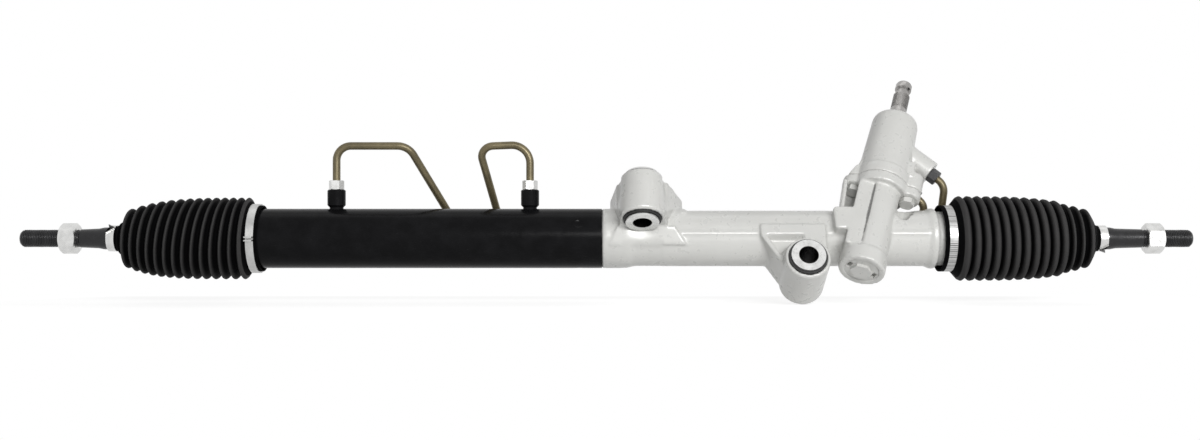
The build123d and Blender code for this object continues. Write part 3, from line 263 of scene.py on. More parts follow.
def silver_paint(colour):
    """Silver paint on cast metal: fine cast grain under a thin glossy coat, with painted shade darkening the
    groove on the tower's front.
    """
    material, tree, shader = start_material("silver_painted_casting")
    place = object_place(tree)
    groove_shade_node = tree.nodes.new("ShaderNodeAttribute")
    groove_shade_node.attribute_name = "painted_groove_shade"
    # Random tone of the paint, less the painted shade of the groove's step, which takes the colour down to 0.3 of
    # itself.
    mottle_and_groove_shade = Term(tree, noise(tree, place, 45, 4)) - Term(tree, groove_shade_node.outputs["Fac"]) * 0.6
    graded(tree, shader, "Base Color", mottle_and_groove_shade.value, [
        (0.0, shade(colour, 0.3)), (0.15, shade(colour, 0.96)), (0.8, shade(colour, 1.03)),
    ])
    shader.inputs["Metallic"].default_value = 0.08
    graded(tree, shader, "Roughness", noise(tree, place, 160, 2), [(0.3, grey(0.26)), (0.7, grey(0.34))])
    grain = Term(tree, noise(tree, place, 900, 3, 0.6)) * 0.15
    cast = Term(tree, noise(tree, place, 110, 2, 0.5)) + grain
    bump(tree, shader, cast.value, 0.0003, 0.3)
    return material


def vector_math(tree, operation, linked, constant=None):
    """Vector Math node on a linked vector and, where the operation takes one, a constant vector."""
    node = tree.nodes.new("ShaderNodeVectorMath")
    node.operation = operation
    tree.links.new(linked, node.inputs[0])
    if constant is not None:
        node.inputs[1].default_value = constant
    return node


def zinc_with_bore_shade(colour, radius):
    """Zinc plate of the mount sleeves, with painted shade in the bore: the colour there is near black."""
    material, tree, shader = plated("zinc_sleeve", colour, 0.3, (900, 900, 900))
    face = shader.inputs["Base Color"].links[0].from_socket
    near = None
    for side in ("left", "right"):
        line = on_eye(side)
        shift = vector_math(tree, "SUBTRACT", object_place(tree), line.translation)
        cross = vector_math(tree, "CROSS_PRODUCT", shift.outputs[0], line.col[2].xyz)
        reach = Term(tree, vector_math(tree, "LENGTH", cross.outputs[0]).outputs["Value"])
        near = reach if near is None else near.math("MINIMUM", reach)
    outside = near.math("GREATER_THAN", radius)
    mix = tree.nodes.new("ShaderNodeMix")
    mix.data_type = "RGBA"
    # Painted shade: near-black colour inside the bore.
    mix.inputs["A"].default_value = (0.03, 0.028, 0.026, 1)
    tree.links.new(outside.value, mix.inputs["Factor"])
    tree.links.new(face, mix.inputs["B"])
    tree.links.new(mix.outputs["Result"], shader.inputs["Base Color"])
    return material


def black_enamel(colour):
    """Black gloss enamel with a faint ripple and a little dust."""
    material, tree, shader = start_material("black_enamel")
    place = object_place(tree)
    graded(tree, shader, "Base Color", noise(tree, place, 70, 4), [
        (0.4, colour), (0.8, shade(colour, 1.8)),
    ])
    graded(tree, shader, "Roughness", noise(tree, place, 220, 3), [(0.35, grey(0.16)), (0.75, grey(0.28))])
    shader.inputs["Specular IOR Level"].default_value = 0.05
    bump(tree, shader, noise(tree, place, 260, 2), 0.00012, 0.35)
    return material


def plated(name, colour, rough, grain):
    """Plated or ground metal with fine drawn lines."""
    material, tree, shader = start_material(name)
    place = object_place(tree)
    graded(tree, shader, "Base Color", noise(tree, place, 120, 4), [
        (0.25, shade(colour, 0.82)), (0.55, colour), (0.8, shade(colour, 1.12)),
    ])
    shader.inputs["Metallic"].default_value = 1.0
    graded(tree, shader, "Roughness", noise(tree, place, 400, 3), [
        (0.3, grey(rough * 0.8)), (0.7, grey(rough * 1.3)),
    ])
    lines = noise(tree, stretched(tree, place, grain), 1.0, 2)
    bump(tree, shader, lines, 0.00004, 0.5)
    return material, tree, shader


def pipe_coating(colour):
    """Olive coating of the pressure pipes, worn lighter in patches."""
    material, tree, shader = start_material("olive_pipe_coating")
    place = object_place(tree)
    graded(tree, shader, "Base Color", noise(tree, place, 60, 5, 0.7), [
        (0.3, shade(colour, 0.7)), (0.5, colour), (0.75, shade(colour, 1.35)),
    ])
    shader.inputs["Metallic"].default_value = 0.55
    graded(tree, shader, "Roughness", noise(tree, place, 300, 2), [(0.3, grey(0.32)), (0.7, grey(0.46))])
    bump(tree, shader, noise(tree, place, 700, 2), 0.0001, 0.4)
    return material


def boot_rubber(colour, dust_and_sheen):
    """Black rubber, lighter on the crests of its folds: partly rubbed dust, partly painted sheen, with the valleys
    left dark as painted shade.
    """
    material, tree, shader = start_material("boot_rubber")
    place = object_place(tree)
    ridge = tree.nodes.new("ShaderNodeAttribute")
    ridge.attribute_name = "ridge"
    patches = Term(tree, noise(tree, place, 90, 4)) * 0.5
    # Crests lighter than valleys in colour: partly dust, partly painted highlight, and painted shade in the folds.
    worn_and_sheen = Term(tree, ridge.outputs["Fac"]) ** 3.0
    level = worn_and_sheen * (patches + 0.72)
    graded(tree, shader, "Base Color", level.value, [(0.08, colour), (0.9, dust_and_sheen)])
    rough = Term(tree, noise(tree, place, 240, 2)) * 0.2 + 0.75 - Term(tree, ridge.outputs["Fac"]) * 0.25
    tree.links.new(rough.value, shader.inputs["Roughness"])
    shader.inputs["Specular IOR Level"].default_value = 0.04
    bump(tree, shader, noise(tree, place, 800, 3), 0.0001, 0.5)
    return material


def dull(name, colour, rough, metallic, grain):
    """Dull surface with fine speckle, for rubber, plastic, oxide and sintered parts."""
    material, tree, shader = start_material(name)
    place = object_place(tree)
    graded(tree, shader, "Base Color", noise(tree, place, grain, 4, 0.65), [
        (0.3, shade(colour, 0.75)), (0.5, colour), (0.8, shade(colour, 1.5)),
    ])
    shader.inputs["Metallic"].default_value = metallic
    graded(tree, shader, "Roughness", noise(tree, place, grain * 2, 2), [
        (0.3, grey(rough * 0.85)), (0.7, grey(min(rough * 1.15, 1.0))),
    ])
    bump(tree, shader, noise(tree, place, grain * 4, 2), 0.0001, 0.5)
    return material


MATERIALS = {}


def material_for(name):
    """Material of a finish, made once from the scene's settings."""
    if name in MATERIALS:
        return MATERIALS[name]
    finish = bpy.context.scene.rack_finish
    makers = {
        "silver": lambda: silver_paint(finish.casting),
        "enamel": lambda: black_enamel(finish.enamel),
        "zinc": lambda: plated("zinc_plate", finish.zinc, 0.30, (900, 900, 900))[0],
        "strap": lambda: plated("clamp_steel", shade(finish.zinc, 0.75), 0.36, (1500, 30, 30))[0],
        "sleeve": lambda: zinc_with_bore_shade(finish.zinc, 8.6 * MM),
        "ground": lambda: plated("ground_steel", (0.34, 0.33, 0.32), 0.24, (60, 1400, 1400))[0],
        "pipe": lambda: pipe_coating(finish.pipe),
        "boot": lambda: boot_rubber(finish.rubber, finish.dust_and_sheen),
        "rubber": lambda: dull("bush_rubber", (0.012, 0.012, 0.012), 0.6, 0.0, 300),
        "oxide": lambda: dull("black_oxide_steel", (0.012, 0.012, 0.013), 0.34, 0.35, 160),
        "plastic": lambda: dull("sliding_plastic", (0.42, 0.40, 0.34), 0.5, 0.0, 200),
        "sintered": lambda: dull("sintered_iron", (0.16, 0.155, 0.15), 0.55, 0.8, 500),
    }
    MATERIALS[name] = makers[name]()
    return MATERIALS[name]


def paint(obj, finish):
    """Gives an object one finish all over."""
    obj.data.materials.clear()
    obj.data.materials.append(material_for(finish))


def paint_nodes(finish, *names):
    """Gives CAD nodes their finish."""
    for name in names:
        paint(frame["nodes"][name], finish)


def polish(finish, slot, body, *names):
    """Replaces CAD nodes by smooth copies with a finish."""
    for name in names:
        piece = smooth(cad_copy(name, f"{name}_smooth"))
        paint(piece, finish)
        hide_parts(name)
        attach(piece, body)


# Meshes

def add_object(name, mesh):
    """Object of a mesh, at the origin of the scene."""
    obj = bpy.data.objects.new(name, mesh)
    bpy.context.scene.collection.objects.link(obj)
    return obj


def baked(obj, name):
    """Object whose modifiers have become its mesh."""
    graph = bpy.context.evaluated_depsgraph_get()
    graph.update()
    mesh = bpy.data.meshes.new_from_object(obj.evaluated_get(graph), depsgraph=graph)
    source = obj.data
    bpy.data.objects.remove(obj)
    if source.users == 0:
        bpy.data.meshes.remove(source)
    mesh.name = name
    return add_object(name, mesh)


def smooth(obj, angle=math.radians(35)):
    """Smooth faces that stay sharp past an angle."""
    mesh = obj.data
    mesh.shade_smooth()
    mesh.set_sharp_from_angle(angle=angle)
    return obj


def closed_mesh(name, builder):
    """Mesh of a builder's closed form, with its faces outwards."""
    bmesh.ops.recalc_face_normals(builder, faces=builder.faces)
    mesh = bpy.data.meshes.new(name)
    builder.to_mesh(mesh)
    builder.free()
    return mesh


def turned(name, outline, place, segments=72):
    """Closed body turned about Z from (height, radius) points, moved to its place."""
    builder = bmesh.new()
    rings = []
    for height, radius in outline:
        if radius < 1e-7:
            rings.append([builder.verts.new((0, 0, height))])
            continue
        rings.append([
            builder.verts.new((
                radius * math.cos(2 * math.pi * step / segments),
                radius * math.sin(2 * math.pi * step / segments),
                height,
            ))
            for step in range(segments)
        ])
    pairs = list(zip(rings, rings[1:]))
    if len(rings[0]) > 1 or len(rings[-1]) > 1:
        pairs.append((rings[-1], rings[0]))
    for low, high in pairs:
        for step in range(segments):
            after = (step + 1) % segments
            corners = []
            for vertex in (
                low[step % len(low)], low[after % len(low)],
                high[after % len(high)], high[step % len(high)],
            ):
                if vertex not in corners:
                    corners.append(vertex)
            if len(corners) > 2:
                builder.faces.new(corners)
    mesh = closed_mesh(name, builder)
    mesh.transform(place)
    return smooth(add_object(name, mesh))


def cad_copy(node, name):
    """Merged copy of a CAD node's mesh, ready for modifiers."""
    mesh = frame["nodes"][node].data.copy()
    builder = bmesh.new()
    builder.from_mesh(mesh)
    bmesh.ops.remove_doubles(builder, verts=builder.verts, dist=1e-6)
    builder.to_mesh(mesh)
    builder.free()
    normals = mesh.attributes.get("custom_normal")
    if normals:
        mesh.attributes.remove(normals)
    return add_object(name, mesh)


def ring_sector(name, span, radii, turns):
    """Part of a ring round the rack's line, in millimetres and degrees from the front, over the top."""
    steps = 24
    section = []
    for radius, order in ((radii[0], 1), (radii[1], -1)):
        for step in range(steps + 1)[::order]:
            turn = math.radians(turns[0] + (turns[1] - turns[0]) * step / steps)
            section.append((-radius * math.cos(turn), radius * math.sin(turn)))
    return prism(name, section, span, Matrix.Translation(RACK_LINE - Vector((RACK_LINE.x, 0, 0))))


def prism(name, section, span, place):
    """Closed prism along local X, from (y, z) corners in millimetres."""
    builder = bmesh.new()
    ends = [
        [builder.verts.new(Vector((x, y, z)) * MM) for y, z in section] for x in span
    ]
    for index in range(len(section)):
        after = (index + 1) % len(section)
        builder.faces.new((ends[0][index], ends[0][after], ends[1][after], ends[1][index]))
    builder.faces.new(ends[0])
    builder.faces.new(ends[1])
    mesh = closed_mesh(name, builder)
    mesh.transform(place)
    return add_object(name, mesh)


def joined(obj, *others):
    """One object of several closed forms."""
    builder = bmesh.new()
    for piece in (obj, *others):
        builder.from_mesh(piece.data)
    builder.to_mesh(obj.data)
    builder.free()
    for piece in others:
        bpy.data.objects.remove(piece)
    return obj


def cast_form(obj, name, grain, rounds):
    """Casting with the soft corners of its mould: closed forms, remeshed and relaxed."""
    remesh = obj.modifiers.new("Grain", "REMESH")
    remesh.mode = "VOXEL"
    remesh.voxel_size = grain
    relax = obj.modifiers.new("Soft corners", "SMOOTH")
    relax.factor = 0.5
    relax.iterations = rounds
    obj = baked(obj, name)
    obj.data.shade_smooth()
    return obj


def reshaped(obj, place, move):
    """Moves the points of a mesh by a rule in a local frame, in millimetres."""
    back = place.inverted()
    for vertex in obj.data.vertices:
        spot = (back @ vertex.co) / MM
        vertex.co = place @ (Vector(move(*spot)) * MM)


def eased(value, low, high):
    """Nought below low, one above high, smooth between."""
    share = min(max((value - low) / (high - low), 0.0), 1.0)
    return share * share * (3 - 2 * share)


# Geometry Nodes

def start_tree(name, sizes, counts=()):
    """Geometry tree with named inputs: the tree, its group input and a maker of nodes."""
    tree = bpy.data.node_groups.new(name, "GeometryNodeTree")
    tree.interface.new_socket(name="Geometry", in_out="OUTPUT", socket_type="NodeSocketGeometry")
    inputs = [(label, "Float") for label in sizes] + [(label, "Int") for label in counts]
    for label, kind in (*inputs, ("Material", "Material")):
        tree.interface.new_socket(name=label, in_out="INPUT", socket_type=f"NodeSocket{kind}")
    group = tree.nodes.new("NodeGroupInput")

    def node(kind, **links):
        made = tree.nodes.new(kind)
        for label, value in links.items():
            place = made.inputs[label.replace("_", " ")]
            if isinstance(value, bpy.types.NodeSocket):
                tree.links.new(value, place)
            else:
                place.default_value = value
        return made

    return tree, group, node


def finish_tree(tree, group, node, geometry):
    """Ends a tree with plain geometry that has its material."""
    real = node("GeometryNodeRealizeInstances", Geometry=geometry)
    dressed = node("GeometryNodeSetMaterial", Geometry=real.outputs[0], Material=group.outputs["Material"])
    out = tree.nodes.new("NodeGroupOutput")
    tree.links.new(dressed.outputs[0], out.inputs[0])
    return tree


def grown(name, tree, values, place):
    """Object made by a geometry tree with these input values, moved to its place."""
    seed = add_object(name, bpy.data.meshes.new(name))
    modifier = seed.modifiers.new("Shape", "NODES")
    modifier.node_group = tree
    for item in tree.interface.items_tree:
        if item.in_out == "INPUT" and item.name in values:
            modifier[item.identifier] = values[item.name]
    obj = baked(seed, name)
    obj.data.transform(place)
    return obj


def bellows_tree(profile):
    """Tube of folds: an envelope curve gives the crest, a wave cuts the folds into it."""
    sizes = ("Length", "Folds", "First Crest", "Last Crest", "Fold Depth", "Lean", "Largest Radius")
    tree, group, node = start_tree("bellows", sizes, ("Rings", "Segments"))
    grid = node(
        "GeometryNodeMeshGrid", Size_X=1.0, Size_Y=1.0,
        Vertices_X=group.outputs["Rings"], Vertices_Y=group.outputs["Segments"],
    )
    spot = node("ShaderNodeSeparateXYZ", Vector=tree.nodes.new("GeometryNodeInputPosition").outputs[0])
    share = Term(tree, spot.outputs["X"]) + 0.5
    turn = (Term(tree, spot.outputs["Y"]) + 0.5) * (2 * math.pi)
    envelope = tree.nodes.new("ShaderNodeFloatCurve")
    points = envelope.mapping.curves[0].points
    points[0].location = profile[0]
    points[1].location = profile[-1]
    for place in profile[1:-1]:
        points.new(*place)
    for point in points:
        point.handle_type = "VECTOR"
    envelope.mapping.update()
    tree.links.new(share.value, envelope.inputs["Value"])
    crest = Term(tree, envelope.outputs["Value"]) * group.outputs["Largest Radius"]
    start = Term(tree, group.outputs["First Crest"])
    span = Term(tree, group.outputs["Last Crest"]) - start
    gaps = Term(tree, group.outputs["Folds"]) - 1.0
    phase = (share - start) / span * gaps
    wave = (phase.math("MAXIMUM", 0.0).math("MINIMUM", gaps) * (2 * math.pi)).math("COSINE") * 0.5 + 0.5
    ridge = wave ** 1.15
    cut = (Term(tree, 1.0) - ridge) * group.outputs["Fold Depth"]
    over = 0.3
    folded = (phase + over).math("GREATER_THAN", 0.0) * (gaps + over - phase).math("GREATER_THAN", 0.0)
    radius = crest - cut
    level = radius * turn.math("COSINE")
    sweep = (share * math.pi).math("SINE")
    along = share * group.outputs["Length"] + level * sweep * group.outputs["Lean"]
    across = radius * turn.math("SINE")
    where = tree.nodes.new("ShaderNodeCombineXYZ")
    for label, term in (("X", level), ("Y", across), ("Z", along)):
        tree.links.new(term.value, where.inputs[label])
    stored = node("GeometryNodeStoreNamedAttribute", Geometry=grid.outputs["Mesh"], Name="ridge")
    stored.data_type = "FLOAT"
    stored.domain = "POINT"
    tree.links.new((ridge * folded).value, stored.inputs["Value"])
    moved = node("GeometryNodeSetPosition", Geometry=stored.outputs[0], Position=where.outputs[0])
    merged = node("GeometryNodeMergeByDistance", Geometry=moved.outputs[0], Distance=1e-5)
    soft = node("GeometryNodeSetShadeSmooth", Geometry=merged.outputs[0])
    return finish_tree(tree, group, node, soft.outputs[0])


def thread_tree():
    """Screw thread: a ridge wound round a core."""
    tree, group, node = start_tree("thread", ("Radius", "Depth", "Pitch", "Length"))
    depth = Term(tree, group.outputs["Depth"])
    root = Term(tree, group.outputs["Radius"]) - depth
    turns = Term(tree, group.outputs["Length"]) / group.outputs["Pitch"]
    spiral = node(
        "GeometryNodeCurveSpiral", Resolution=28, Rotations=turns.value,
        Start_Radius=root.value, End_Radius=root.value, Height=group.outputs["Length"],
    )
    section = node("GeometryNodeCurvePrimitiveCircle", Resolution=4, Radius=depth.value)
    ridge = node(
        "GeometryNodeCurveToMesh", Curve=spiral.outputs[0], Profile_Curve=section.outputs["Curve"],
        Fill_Caps=True,
    )
    return finish_tree(tree, group, node, ridge.outputs[0])


def spline_tree():
    """Splined sleeve: a ring of small ridges drawn along a tube."""
    tree, group, node = start_tree("spline", ("Root Radius", "Tip Radius", "Length"), ("Teeth",))
    radius = group.outputs["Root Radius"]
    height = Term(tree, group.outputs["Tip Radius"]) - radius
    pitch = Term(tree, radius) * (2 * math.pi) / group.outputs["Teeth"]
    ring = node("GeometryNodeCurvePrimitiveCircle", Resolution=group.outputs["Teeth"], Radius=radius)
    spots = node("GeometryNodeCurveToPoints", Curve=ring.outputs["Curve"], Count=group.outputs["Teeth"])
    size = tree.nodes.new("ShaderNodeCombineXYZ")
    length = Term(tree, group.outputs["Length"])
    for label, term in (("X", height * 2.0), ("Y", pitch * 0.5), ("Z", length)):
        tree.links.new(term.value, size.inputs[label])
    tooth = node("GeometryNodeMeshCube", Size=size.outputs[0])
    lift = tree.nodes.new("ShaderNodeCombineXYZ")
    tree.links.new((length * 0.5).value, lift.inputs["Z"])
    stood = node("GeometryNodeTransform", Geometry=tooth.outputs["Mesh"], Translation=lift.outputs[0])
    spot = node("ShaderNodeSeparateXYZ", Vector=tree.nodes.new("GeometryNodeInputPosition").outputs[0])
    turn = Term(tree, spot.outputs["Y"]).math("ARCTAN2", Term(tree, spot.outputs["X"]))
    facing = tree.nodes.new("ShaderNodeCombineXYZ")
    tree.links.new(turn.value, facing.inputs["Z"])
    teeth = node(
        "GeometryNodeInstanceOnPoints", Points=spots.outputs["Points"], Instance=stood.outputs[0],
        Rotation=facing.outputs[0],
    )
    return finish_tree(tree, group, node, teeth.outputs[0])


# Settings

class RackFinish(PropertyGroup):
    """Colours of the finishes"""

    casting: FloatVectorProperty(
        name="Casting", description="Silver paint of the castings", subtype="COLOR",
        default=(0.57, 0.57, 0.55), min=0, max=1,
    )
    enamel: FloatVectorProperty(
        name="Enamel", description="Black enamel of the cylinder tube", subtype="COLOR",
        default=(0.005, 0.005, 0.0055), min=0, max=1,
    )
    zinc: FloatVectorProperty(
        name="Zinc", description="Zinc plate of nuts, clamps and sleeves", subtype="COLOR",
        default=(0.66, 0.66, 0.65), min=0, max=1,
    )
    pipe: FloatVectorProperty(
        name="Pipes", description="Olive coating of the pressure pipes", subtype="COLOR",
        default=(0.135, 0.112, 0.062), min=0, max=1,
    )
    rubber: FloatVectorProperty(
        name="Rubber", description="Rubber of the bellows", subtype="COLOR",
        default=(0.0012, 0.0012, 0.0014), min=0, max=1,
    )
    # Crest colour of the folds: rubbed dust and painted sheen.
    dust_and_sheen: FloatVectorProperty(
        name="Dust", description="Rubbed crests of the folds", subtype="COLOR",
        default=(0.045, 0.044, 0.044), min=0, max=1,
    )


class RackShapes(PropertyGroup):
    """Sizes of what the CAD model draws plain"""

    left_folds: IntProperty(
        name="Left folds", description="Folds of the left bellows", default=14, min=4, max=30
    )
    right_folds: IntProperty(
        name="Right folds", description="Folds of the right bellows", default=14, min=4, max=30
    )
    left_first_crest: FloatProperty(
        name="Left first crest", description="From the left ball back to the first crest", default=86 * MM,
        min=0.06, max=0.1, unit="LENGTH", precision=4,
    )
    right_first_crest: FloatProperty(
        name="Right first crest", description="From the right ball back to the first crest", default=93 * MM,
        min=0.06, max=0.1, unit="LENGTH", precision=4,
    )
    last_crest: FloatProperty(
        name="Last crest", description="From a ball out to the last crest", default=20.5 * MM,
        min=0, max=0.03, unit="LENGTH", precision=4,
    )
    fold_depth: FloatProperty(
        name="Fold depth", description="Depth from crest to valley", default=5.4 * MM, min=0, max=0.02,
        unit="LENGTH", precision=4,
    )
    left_lean: FloatProperty(
        name="Left lean", description="How far the left folds lean over", default=0.14, min=-0.3, max=0.3
    )
    right_lean: FloatProperty(
        name="Right lean", description="How far the right folds lean over", default=0.05, min=-0.3, max=0.3
    )
    thread_pitch: FloatProperty(
        name="Thread pitch", description="Pitch of the tie rod threads", default=1.5 * MM,
        min=0.0005, max=0.005, unit="LENGTH", precision=4,
    )
    spline_teeth: IntProperty(
        name="Spline teeth", description="Teeth of the input shaft", default=36, min=8, max=72
    )
    cast_grain: FloatProperty(
        name="Cast grain", description="Voxel size of the castings", default=1.15 * MM,
        min=0.0008, max=0.005, unit="LENGTH", precision=4,
    )


class RackStudio(PropertyGroup):
    """Floor, lamps and camera"""

    floor: FloatVectorProperty(
        name="Floor", description="Colour of the floor", subtype="COLOR",
        default=(0.93, 0.93, 0.93), min=0, max=1,
    )
    shadow_reach: FloatProperty(
        name="Shadow reach", description="Depth of floor that keeps the part's shadow", default=0.09,
        min=0.05, max=1, unit="LENGTH",
    )
    key: FloatProperty(
        name="Key lamp", description="Lamp in front, above and to the right", default=37.0,
        min=0, unit="POWER",
    )
    top: FloatProperty(name="Top lamp", description="Long lamp overhead", default=2.0, min=0, unit="POWER")
    world: FloatProperty(name="Room light", description="Light from all round", default=0.21, min=0, max=5)
    lens: FloatProperty(
        name="Lens", description="Focal length", default=42.0, min=10, max=200, unit="CAMERA"
    )


# Operators

class RACK_OT_castings(Operator):
    """Cast rack housing and valve housing with soft corners"""

    bl_idname = "rack.castings"
    bl_label = "Castings"

    def execute(self, context):
        grain = context.scene.rack_shapes.cast_grain
        housing = joined(
            cad_copy("rack_housing", "rack_housing_form"),
            ring_sector("collar", (-22, 40), (23.4, 27.0), (-12, 140)),
        )
        housing = cast_form(housing, "rack_housing_casting", grain, 7)
        reshaped(housing, Matrix.Translation((0, RACK_LINE.y, RACK_LINE.z)), self.pad_sides)
        reshaped(housing, on_eye("left"), self.left_eye)
        self.soften_notch(housing)
        reshaped(housing, on_eye("right"), self.right_eye)
        reshaped(housing, on_tower(0), self.tower_front)
        valve = joined(
            cad_copy("valve_housing", "valve_housing_form"),
            prism("shoulder", [(-12, 59), (-12, 76), (2, 76), (2, 59)], (13, 26), on_tower(0)),
        )
        valve = cast_form(valve, "valve_housing_casting", grain * 0.8, 7)
        reshaped(valve, on_tower(0), self.left_slope)
        for piece, node in ((housing, "rack_housing"), (valve, "valve_housing")):
            paint(piece, "silver")
            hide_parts(node)
            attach(piece, "housing")
        # Painted shade in the groove on the tower's front.
        self.painted_groove_shade(housing)
        paint_nodes("silver", "pinion_end_plug", "valve_housing_bolts")
        return {"FINISHED"}

    def left_eye(self, x, y, z):
        """Draft of the left eye: its barrel narrows towards the far face."""
        skin, outside, rack_side, full, narrowing = 18.4, 24, 14, 4, 0.11
        radius = math.hypot(x, y)
        if skin < radius < outside and y < rack_side:
            share = eased(y, rack_side, full) if y > full else 1.0
            x *= 1 - narrowing * share * eased(z, -22, 30) * eased(radius, skin, 20)
        return x, y, z

    def pad_sides(self, x, y, z):
        """Sides of the left eye's pad, drawn in towards its top."""
        barrel, foot, climb, top, fall = 19, -5.6, 17.6, 26, 10
        edge, drawn = (29.0, 7.0) if x < 0 else (39.5, 11.0)
        rise = max(min((z - foot) / climb, (top - z) / fall, 1.0), 0.0)
        reach = abs(x)
        near = min(max((reach - barrel) / (edge - barrel), 0.0), 1.0)
        near *= 1 - eased(reach, edge + 1, edge + 7)
        reach -= drawn * rise * near * eased(-y, 10, 15)
        return math.copysign(reach, x), y, z

    def soften_notch(self, housing):
        """Rounds the room that the pad leaves in front of the left sleeve."""
        place = on_eye("left")
        back = place.inverted()
        rounds, half_width, rack_side = 30, 19 * MM, 8 * MM
        barrel_face, sleeve_face, bore = -21.6 * MM, -25.2 * MM, 15.7 * MM
        builder = bmesh.new()
        builder.from_mesh(housing.data)
        spots = []
        for vertex in builder.verts:
            spot = back @ vertex.co
            if spot.z < barrel_face and spot.y > rack_side and abs(vertex.co.x) < half_width:
                spots.append(vertex)
        for _ in range(rounds):
            bmesh.ops.smooth_vert(
                builder, verts=spots, factor=0.5, use_axis_x=True, use_axis_y=True, use_axis_z=True
            )
        for vertex in spots:
            spot = back @ vertex.co
            radius = math.hypot(spot.x, spot.y)
            if spot.z > sleeve_face and radius < bore:
                spot.x *= bore / radius
                spot.y *= bore / radius
                vertex.co = place @ spot
        builder.to_mesh(housing.data)
        builder.free()

    def right_eye(self, x, y, z):
        """Hollow in the right eye's skirt, between its rib and the barrel."""
        rib_foot, rib_run, rib_climb = -20.75, 17.25, 30
        face, half_face, hollow = -13, 1.6, 6.5
        edge = ((x - rib_foot) * rib_climb + y * rib_run) / math.hypot(rib_climb, rib_run)
        mask = eased(edge, 4.0, 6.5) * eased(math.hypot(x, y), 21.5, 25) * eased(-y, -32, -27)
        if x < 0 and y > -2 and abs(z - face) < half_face:
            z += hollow * mask
        return x, y, z

    def tower_front(self, x, y, z):
        """Groove along the flat on the tower's front."""
        flat, low, high, depth = -11, -30, 37, 1.1
        if y < flat and low < z < high:
            y += depth * eased(-abs(x - GROOVE_ACROSS), -1.5, -0.3)
        return x, y, z

    def left_slope(self, x, y, z):
        """Slope of the valve housing's left ear."""
        low, high, edge, slope = 47, 62, -31.0, 0.5
        if low < z < high:
            x = max(x, edge + (z - (low + 1)) * slope)
        return x, y, z

    def painted_groove_shade(self, housing):
        """Marks the groove on the tower's front for painted shade, which stands in for the shadow of its step."""
        back = on_tower(0).inverted()
        mark = housing.data.attributes.new("painted_groove_shade", "FLOAT", "POINT")
        for vertex, item in zip(housing.data.vertices, mark.data):
            x, y, z = (back @ vertex.co) / MM
            if y < -9:
                across = eased(-abs(x - GROOVE_ACROSS), -1.7, -0.5)
                item.value = across * eased(z, -31, -29) * eased(-z, -38, -36)


class RACK_OT_cylinder(Operator):
    """Cylinder tube, port bosses, pipes with their nuts, and the large clamps"""

    bl_idname = "rack.cylinder"
    bl_label = "Cylinder"

    def execute(self, context):
        paint_nodes(
            "enamel", "cylinder_tube", "port_boss_left", "port_boss_right", "yoke_plug", "yoke_lock_nut"
        )
        polish("zinc", "zinc_plate", "housing", "cylinder_flare_nuts")
        polish("strap", "zinc_plate", "housing", "large_clamp_left", "large_clamp_right")
        paint_nodes("oxide", "valve_flare_nuts")
        paint_nodes("pipe", "pressure_pipe_left", "pressure_pipe_right")
        return {"FINISHED"}


class RACK_OT_inner_parts(Operator):
    """Finishes of the parts inside the housings"""

    bl_idname = "rack.inner_parts"
    bl_label = "Inner parts"

    def execute(self, context):
        paint_nodes(
            "ground", "rack_bar", "piston", "pinion", "torsion_bar", "torsion_bar_pin", "valve_sleeve",
            "lower_bearing_outer", "lower_bearing_inner", "lower_bearing_balls", "upper_bearing",
            "input_bearing", "yoke_spring",
        )
        paint_nodes("plastic", "piston_ring", "valve_sleeve_rings", "rack_bush", "rack_seal_backup",
                    "ball_seat_left", "ball_seat_right")
        paint_nodes("rubber", "rack_outer_seal", "rack_inner_seal", "pinion_seal", "input_shaft_seal",
                    "valve_housing_o_ring", "dust_cover", "mount_bush_left", "mount_bush_right")
        paint_nodes("sintered", "yoke")
        paint_nodes("oxide", "ball_socket_left", "ball_socket_right", "claw_washer_left",
                    "claw_washer_right")
        paint_nodes("sleeve", "mount_sleeve_left", "mount_sleeve_right")
        paint_nodes("zinc", "jam_nut_left", "jam_nut_right")
        return {"FINISHED"}


class RACK_OT_tie_rods(Operator):
    """Tie rods with rolled threads"""

    bl_idname = "rack.tie_rods"
    bl_label = "Tie rods"

    def execute(self, context):
        pitch = context.scene.rack_shapes.thread_pitch
        tree = thread_tree()
        for side in ("left", "right"):
            low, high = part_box(f"tie_rod_{side}")
            tip = max(abs(low.x - BALLS[side].x), abs(high.x - BALLS[side].x))
            nut = [abs(edge.x - BALLS[side].x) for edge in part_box(f"jam_nut_{side}")]
            ball, neck, body, stud, seat = 13 * MM, 7 * MM, 10 * MM, 8 * MM, 7.8 * MM
            depth = 0.62 * MM
            core = stud - depth
            steps = 14
            outline = [(-ball, 0)]
            meet = math.acos(neck / ball)
            for step in range(1, steps + 1):
                turn = -math.pi / 2 + (math.pi / 2 + meet) * step / steps
                outline.append((ball * math.sin(turn), ball * math.cos(turn)))
            outline += [
                (23 * MM, neck), (26 * MM, neck + 0.7 * MM), (28 * MM, body - 0.4 * MM), (29 * MM, body),
                (30.4 * MM, body), (30.6 * MM, seat), (40.2 * MM, seat), (40.4 * MM, body),
                (44 * MM, body), (49 * MM, 9.0 * MM), (min(nut) - 6 * MM, 8.4 * MM),
                (min(nut) - 3 * MM, 8.3 * MM), (min(nut) - 2 * MM, core), (tip - 1.6 * MM, core),
                (tip, core - 1.4 * MM), (tip, 0),
            ]
            rod = turned(f"tie_rod_{side}_forging", outline, along_rack(side, 0))
            paint(rod, "oxide")
            start = min(nut) - 1 * MM
            thread = grown(f"tie_rod_{side}_thread", tree, {
                "Radius": stud - 0.02 * MM, "Depth": depth, "Pitch": pitch, "Length": tip - 2.2 * MM - start,
                "Material": material_for("oxide"),
            }, along_rack(side, start))
            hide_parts(f"tie_rod_{side}")
            for piece in (rod, thread):
                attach(piece, f"{side}_tie_rod")
        return {"FINISHED"}


